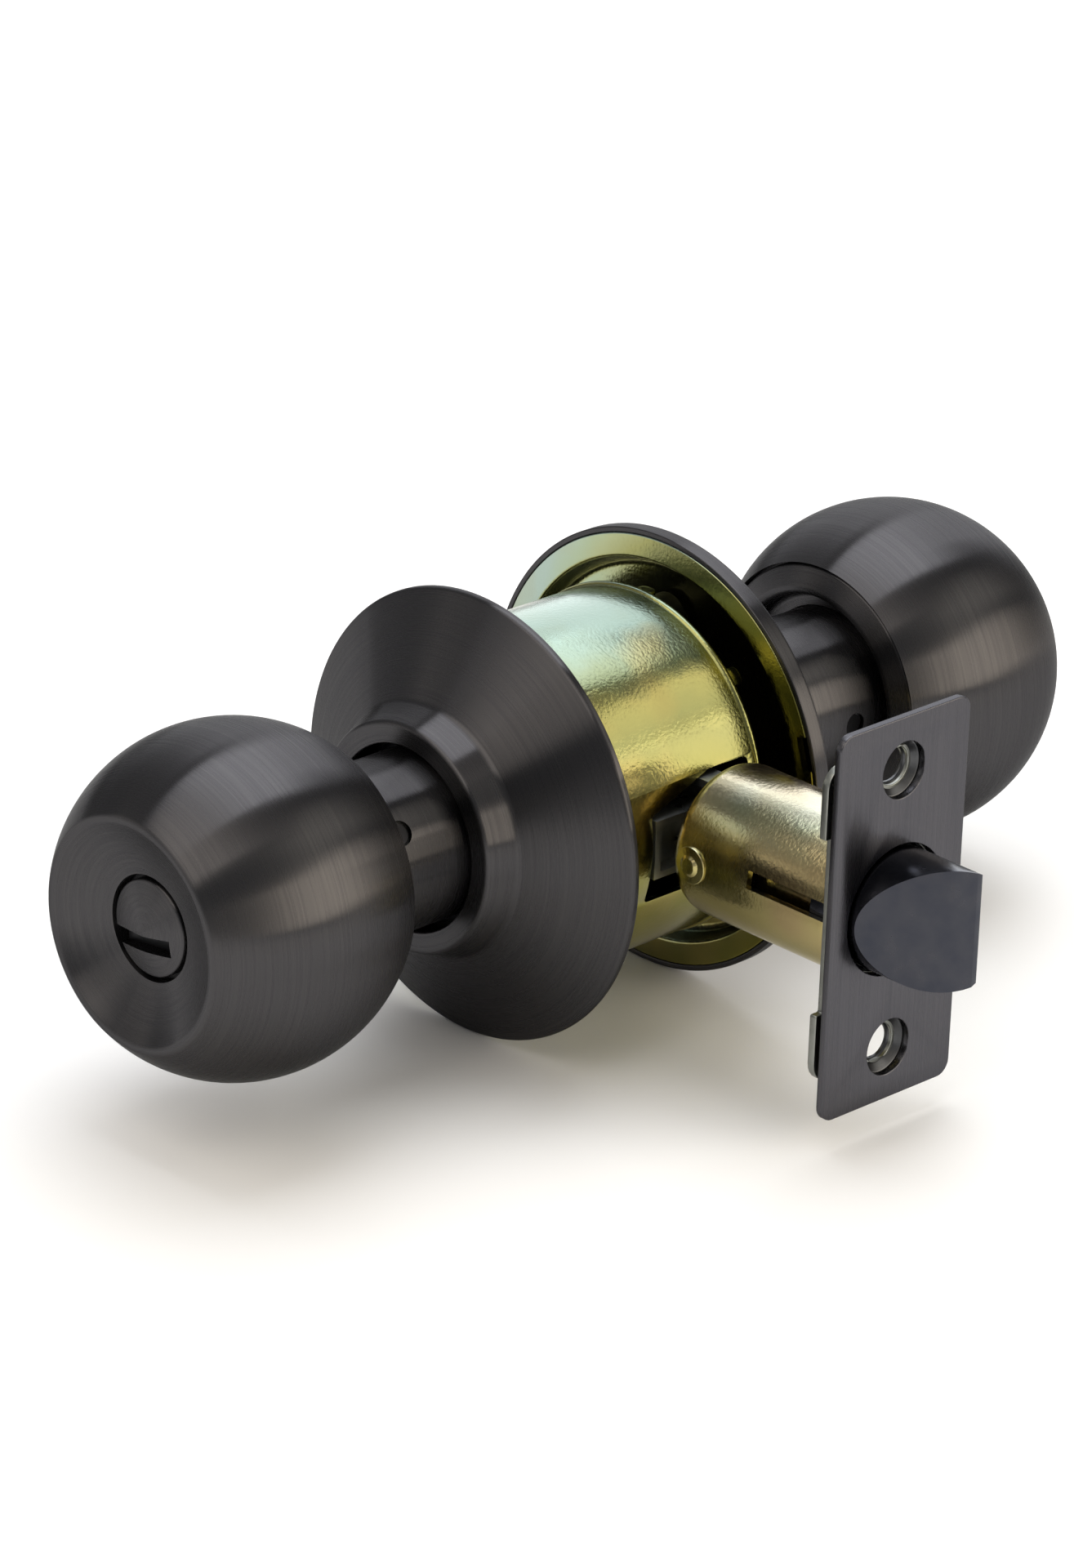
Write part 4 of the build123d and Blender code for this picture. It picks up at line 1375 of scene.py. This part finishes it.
    def faceplate(self) -> None:
        """Make the plate in the edge of the door."""
        w, h = self.plate_width / 2, self.plate_height / 2
        outline = rounded_loop([(-w, -h), (w, -h), (w, h), (-w, h)], [self.plate_corner] * 4)
        span, finish = (self.plate_back, self.backset), self.finishes.plate_black
        plate = self.flat_plate("latch_faceplate", outline, self.hole, span, self.plate_edge, finish)
        self.keep(plate, "chassis", "black_nickel", "faceplate")

    def back_plate(self) -> None:
        """Make the waisted plate behind the faceplate."""
        w, h = self.plate_width / 2, self.back_height / 2
        n, m = self.back_waist / 2, self.back_waist_height / 2
        half = [(w, -h), (w, -m), (n, -m), (n, m), (w, m), (w, h)]
        corners = half + [(-y, z) for y, z in reversed(half)]
        rounds = [self.back_corner, *[self.back_waist_corner] * 4, self.back_corner]
        span, hole = (self.back_back, self.back_front), self.back_hole + self.back_hole_gap
        outline, finish = rounded_loop(corners, rounds * 2), self.finishes.plate_clear
        plate = self.flat_plate("latch_back_plate", outline, hole, span, self.back_edge, finish)
        self.keep(plate, "chassis", "bright_zinc", "backing_plate")

    def dimples(self) -> None:
        """Make the two raised dimples that the wood screws sink into."""
        wide = self.hole + self.dimple_rim
        corners = [
            (self.back_hole, self.back_back), (self.back_hole, self.plate_back - (self.hole - self.back_hole)),
            (self.hole, self.plate_back), (wide, self.plate_back),
            (wide - self.plate_gap / 2, self.back_front - self.dimple_sink),
            (self.back_hole + self.dimple_foot, self.back_back),
        ]
        section = rounded_loop(corners, self.dimple_rounds)
        place = Matrix.Translation((0, 0, self.hole_spacing / 2 * MM)) @ LATCH_TURN
        # The dimples' darker zinc is painted shade in the screw holes.
        finish = self.finishes.shaded_dimple_zinc
        piece = self.spin("latch_plate_dimples", section, finish, self.dimple_segments, place)
        self.repeat(piece, 2, self.half_turn, finish)
        self.keep(piece, "chassis", "bright_zinc")

    def tube_shell(self) -> None:
        """Make the drawn tube round the latch, with its lengthwise slot."""
        rear, wall = self.tube_rear, self.tube_wall
        corners = [
            (self.tube_hole, rear), (self.tube, rear), (self.tube, self.back_back),
            (self.tube - wall, self.back_back), (self.tube - wall, rear + wall), (self.tube_hole, rear + wall),
        ]
        end, lip = self.tube_end_edge, self.tube_hole_edge
        section = rounded_loop(corners, [lip, self.tube_shoulder, end, end, self.tube_shoulder - wall, lip])
        tube = self.spin("latch_tube_shell", section, self.finishes.tube_zinc, self.tube_segments, LATCH_TURN)
        start, low, high = self.slot
        carve(tube, block((start, self.back_back + wall), (-2 * self.tube, 0), (low, high)))
        self.keep(tube, "chassis", "yellow_zinc", "latch_tube")

    def rivets(self) -> None:
        """Make the two dimpled rivets in the tube's sides."""
        head = set_out(self.rivet_head, self.tube + self.rivet_height)
        section = rounded_loop([*self.rivet_foot, *head], self.rivet_rounds)
        place = Matrix.Translation((self.rivet_station * MM, 0, 0))
        finish = self.finishes.tube_zinc
        piece = self.spin("tube_rivet_heads", section, finish, self.rivet_segments, place)
        self.repeat(piece, 2, self.half_turn, finish)
        self.keep(piece, "chassis", "yellow_zinc", "tube_rivets")

    def bolt_body(self) -> None:
        """Make the bevelled bolt with its collar."""
        front = self.back_back - self.stop_gap
        tip, far = self.backset + self.throw, 2 * self.bolt
        blunt = tip - self.blunt
        wide = self.tube - self.tube_wall - self.collar_gap
        corners = [
            (self.bore, self.collar), (wide, self.collar), (wide, front), (self.bolt, front),
            (self.bolt, blunt), (0.0, blunt), (0.0, self.bore_end), (self.bore, self.bore_end),
        ]
        section = rounded_loop(corners, [0, self.collar_edge, self.collar_edge, 0, 0, 0, 0, 0])
        bolt = self.spin("bevelled_bolt", section, self.finishes.bolt_black, self.bolt_segments, LATCH_TURN)
        start = Vector((self.backset + self.bevel_start, -self.bolt))
        slope = bulged(start, Vector((tip, self.flat)), self.bulge, self.bulge_steps)
        cutters = [
            prism([*slope, (tip + far, self.flat), (tip + far, -far), (start.x, -far)], -far, far),
            block((start.x, tip + far), (self.flat, far), (-far, far)),
        ]
        reach = math.sqrt(self.bolt**2 - self.flat**2)
        corner = self.tip_corner
        for side in (-1, 1):
            x, z = blunt - corner, side * (reach - corner)
            turned = arc((x, z), corner, side * 90, 0, self.tip_step)
            outline = [(x, side * far), *turned, (blunt + far, z), (blunt + far, side * far)]
            cutters.append(prism(outline, -far, far, STANDING))
        carve(bolt, *cutters)
        soften(bolt, self.bolt_edge, self.bolt_edge_steps, self.bolt_edge_limit)
        self.keep(bolt, "latch_bolt_body", "bolt_metal", "latch_bolt")

    def barrel(self) -> None:
        """Make the plated barrel on the bolt's rear, which the slot of the tube shows."""
        rear, front = self.collar - self.rear_length, self.collar - self.rear_gap
        corners = [(self.bore, rear), (self.rear, rear), (self.rear, front), (self.bore, front)]
        section = rounded_loop(corners, [self.collar_edge, self.collar_edge, 0, 0])
        piece = self.spin("bolt_barrel", section, self.finishes.tube_zinc, self.bolt_segments, LATCH_TURN)
        self.keep(piece, "latch_bolt_body", "yellow_zinc")

    def build(self) -> None:
        """Make the pieces."""
        for make in (
            self.faceplate, self.back_plate, self.dimples, self.tube_shell, self.rivets, self.bolt_body, self.barrel
        ):
            make()


@dataclass(frozen=True)
class CoilSpring(Assembly):
    """One compression spring, at its length at rest."""

    name: str
    node: str
    joint: str
    start: Triple
    way: Triple
    length: float
    radius: float
    wire: float
    turns: float
    travel: float
    body: str = "chassis"

    def build(self) -> None:
        """Make the spring."""
        piece = new_object(self.name, bpy.data.meshes.new(self.name))
        values = {
            "Radius": self.radius * MM,
            "Height": (self.length - self.wire) * MM,
            "Turns": self.turns,
            "Wire": self.wire / 2 * MM,
            "Material": self.finishes.spring_steel,
        }
        grow(self.trees.coil, piece, values)
        way = Vector(self.way)
        place = Matrix.Translation((Vector(self.start) + way * self.wire / 2) * MM)
        piece.data.transform(place @ way.to_track_quat("Z", "Y").to_matrix().to_4x4())
        self.keep(piece, self.body, "spring_steel", self.node)
        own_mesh(piece)


def springs(kit: tuple[Trees, Finishes]) -> list[CoilSpring]:
    """List the lock's four springs.

    Args:
        kit: What it takes to make them.

    Returns:
        The springs, with the gaps that they fill at rest.
    """
    pull = [
        CoilSpring(
            *kit, f"retractor_coil_{label}", f"retractor_spring_{label}", "retractor_slide", (-18.9, -0.4, z),
            (1, 0, 0), length=26.8, radius=2.8, wire=0.8, turns=7, travel=12.0,
        )
        for label, z in (("upper", 10.0), ("lower", -10.0))
    ]
    latch = CoilSpring(
        *kit, "latch_coil", "latch_spring", "latch_bolt_slide", (29.8, 0, 0),
        (1, 0, 0), length=27.1, radius=4.3, wire=0.9, turns=8, travel=12.0,
    )
    button = CoilSpring(
        *kit, "button_coil", "button_spring", "push_button_press", (0, 65.6, 0),
        (0, 1, 0), length=7.92, radius=3.6, wire=0.5, turns=4, travel=4.0, body="inner_knob_body",
    )
    return [*pull, latch, button]


@dataclass(frozen=True)
class CarriedOver(Assembly):
    """CAD nodes whose shape stays, and the finish that each of them gets."""

    clear_zinc: tuple[str, ...] = (
        "outer_rose_liner", "retractor", "spring_seat", "prong_bracket", "mounting_screws", "outer_spindle",
        "inner_spindle", "latch_tail", "locking_plunger", "release_spindle", "button_stem",
    )
    # These sit in the gap between neck and rose and behind the catch holes, and their near-black steel is painted
    # shade.
    dark_steel: tuple[str, ...] = ("inner_end_plate", "outer_end_plate", "outer_knob_catch", "inner_knob_catch")
    spring_steel: tuple[str, ...] = ("release_clip",)
    nylon: tuple[str, ...] = ("release_housing", "button_housing")

    def dress(self, nodes: dict[str, Object]) -> None:
        """Give each node its finish.

        Args:
            nodes: The frame's nodes by name.
        """
        for finish in ("clear_zinc", "dark_steel", "spring_steel", "nylon"):
            material = getattr(self.finishes, finish)
            for name in getattr(self, finish):
                nodes[name].data.materials.clear()
                nodes[name].data.materials.append(material)
                LOG.info("%s keeps its shape, in %s", name, material.name)


# Studio


@dataclass(frozen=True)
class Camera:
    """The photograph's view, worked out from the round parts of the lock."""

    azimuth: float = 45.08
    elevation: float = 23.45
    roll: float = 2.10
    distance: float = 1001.49
    aside: float = -6.778
    above: float = -1.740
    focal_pixels: float = 8678.89
    long_side: float = 1920.0
    sensor: float = 36.0
    clip: float = 10.0

    def build(self) -> None:
        """Put the camera in the scene."""
        a, e, r = (math.radians(v) for v in (self.azimuth, self.elevation, self.roll))
        back = Vector((math.sin(a) * math.cos(e), -math.cos(a) * math.cos(e), math.sin(e)))
        level_right = Vector((math.cos(a), math.sin(a), 0))
        level_up = back.cross(level_right)
        right = math.cos(r) * level_right + math.sin(r) * level_up
        up = math.cos(r) * level_up - math.sin(r) * level_right
        spot = (self.aside * level_right + self.above * level_up + self.distance * back) * MM
        data = bpy.data.cameras.new("camera")
        data.sensor_fit = "AUTO"
        data.sensor_width = self.sensor
        data.lens = self.focal_pixels / self.long_side * self.sensor
        data.clip_start = self.clip * MM
        camera = bpy.data.objects.new("camera", data)
        camera.matrix_world = Matrix.Translation(spot) @ Matrix((right, up, back)).transposed().to_4x4()
        bpy.context.scene.collection.objects.link(camera)
        bpy.context.scene.camera = camera


@dataclass(frozen=True)
class SoftBox:
    """One rectangular studio lamp."""

    name: str
    place: Triple
    facing: Triple
    size: Span
    radiance: float
    colour: str

    def build(self) -> None:
        """Put the lamp in the scene."""
        data = bpy.data.lights.new(self.name, "AREA")
        data.shape = "RECTANGLE"
        data.size, data.size_y = (v * MM for v in self.size)
        data.energy = self.radiance * math.pi * data.size * data.size_y
        data.color = srgb(self.colour)[:3]
        lamp = bpy.data.objects.new(self.name, data)
        turn = (-Vector(self.facing)).to_track_quat("Z", "Y").to_matrix().to_4x4()
        lamp.matrix_world = Matrix.Translation(Vector(self.place) * MM) @ turn
        bpy.context.scene.collection.objects.link(lamp)


@dataclass(frozen=True)
class Studio:
    """White paper floor in a dim room, with large soft boxes round the lock and dim cards beside them."""

    floor_height: float = -32.75
    floor_size: float = 16000.0
    floor_colour: str = "#f2f2f2"
    floor_roughness: float = 0.9
    fade: Span = (450.0, 1200.0)
    ambient: float = 0.3
    lamps: tuple[SoftBox, ...] = (
        SoftBox("overhead_box", (-168, 190, 800), (0, 0, -1), (656, 720), 3.3, "#fafcff"),
        SoftBox("overhead_card", (-185, -285, 800), (0, 0, -1), (670, 230), 0.7, "#fafcff"),
        SoftBox("front_panel", (0, -1300, 800), (0, 0, -1), (1040, 1800), 1.8, "#fff6ea"),
        SoftBox("side_box", (927, 375, 330), (-0.927, -0.375, 0), (1450, 590), 3.1, "#fff3df"),
        SoftBox("side_card", (777, 629, 1010), (-0.777, -0.629, 0), (1202, 780), 1.25, "#fff8e8"),
        SoftBox("back_box", (-602, 799, 618), (0.6, -0.8, 0), (1020, 1056), 2.2, "#fafcff"),
        SoftBox("back_card", (-940, 342, 645), (0.94, -0.342, 0), (350, 1110), 1.0, "#fafcff"),
        SoftBox("low_card", (-900, -950, 300), (0.7, 0.71, 0), (500, 400), 0.6, "#fff6ea"),
    )

    def sweep(self) -> Material:
        """Make the paper: plain white to the eye and in the metal away from the lock, without lighting it more.

        Returns:
            The material.
        """
        material, tree = blank_material("white paper sweep")
        add = partial(add_node, tree)
        paper = add(
            "ShaderNodeBsdfPrincipled", {"Base Color": srgb(self.floor_colour), "Roughness": self.floor_roughness}
        )
        spot = add("ShaderNodeTexCoord").outputs["Object"]
        reach = add("ShaderNodeVectorMath", {0: spot}, operation="LENGTH")
        near, wide = (distance * MM for distance in self.fade)
        far = add("ShaderNodeMapRange", {"Value": reach, "From Min": near, "From Max": wide})
        path = add("ShaderNodeLightPath").outputs
        seen = path["Is Camera Ray"]
        for ray in ("Is Glossy Ray", "Is Transmission Ray"):
            seen = add("ShaderNodeMath", {0: seen, 1: path[ray]}, operation="MAXIMUM")
        share = add("ShaderNodeMath", {0: far, 1: seen}, operation="MULTIPLY")
        glow = add("ShaderNodeEmission", {"Strength": 1.0})
        mixed = add("ShaderNodeMixShader", {0: share, 1: paper, 2: glow})
        add("ShaderNodeOutputMaterial", {"Surface": mixed})
        return material

    def build(self) -> None:
        """Make the floor, the world and the lamps."""
        shape = bmesh.new()
        bmesh.ops.create_grid(shape, x_segments=2, y_segments=2, size=self.floor_size / 2 * MM)
        floor = shaped("floor", shape)
        floor.location.z = self.floor_height * MM
        floor.data.materials.append(self.sweep())
        world = bpy.data.worlds.new("dim studio")
        bpy.context.scene.world = world
        world.use_nodes = True
        world.node_tree.nodes.clear()
        walls = {"Color": srgb("#ffffff"), "Strength": self.ambient}
        background = add_node(world.node_tree, "ShaderNodeBackground", walls)
        add_node(world.node_tree, "ShaderNodeOutputWorld", {"Surface": background})
        for lamp in self.lamps:
            lamp.build()


def main() -> None:
    """Build the lock's looks around the frame."""
    logging.basicConfig(level=logging.INFO, format="%(name)s: %(message)s")
    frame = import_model()
    bpy.context.scene.view_settings.view_transform = "Standard"
    kit = (Trees(), Finishes())
    outer = KnobSide(*kit, Side.OUTER, knob=66.8, hub_end=30.4, catch=45.4, catch_angle=35.0)
    inner = KnobSide(*kit, Side.INNER, knob=62.2, hub_end=23.4, catch=42.3, catch_angle=0.0)
    for assembly in (
        outer,
        inner,
        ReleaseTurn(*kit, outer.knob, outer.floor),
        PushButton(*kit, inner.knob, inner.floor),
        Rose(*kit, Side.OUTER, seat=21.8, rim=1.0),
        Rose(*kit, Side.INNER, seat=13.2, rim=2.6),
        Chassis(*kit),
        Latch(*kit),
        *springs(kit),
    ):
        assembly.build()
    CarriedOver(*kit).dress(frame["nodes"])
    Studio().build()
    Camera().build()


if __name__ == "__main__":
    main()
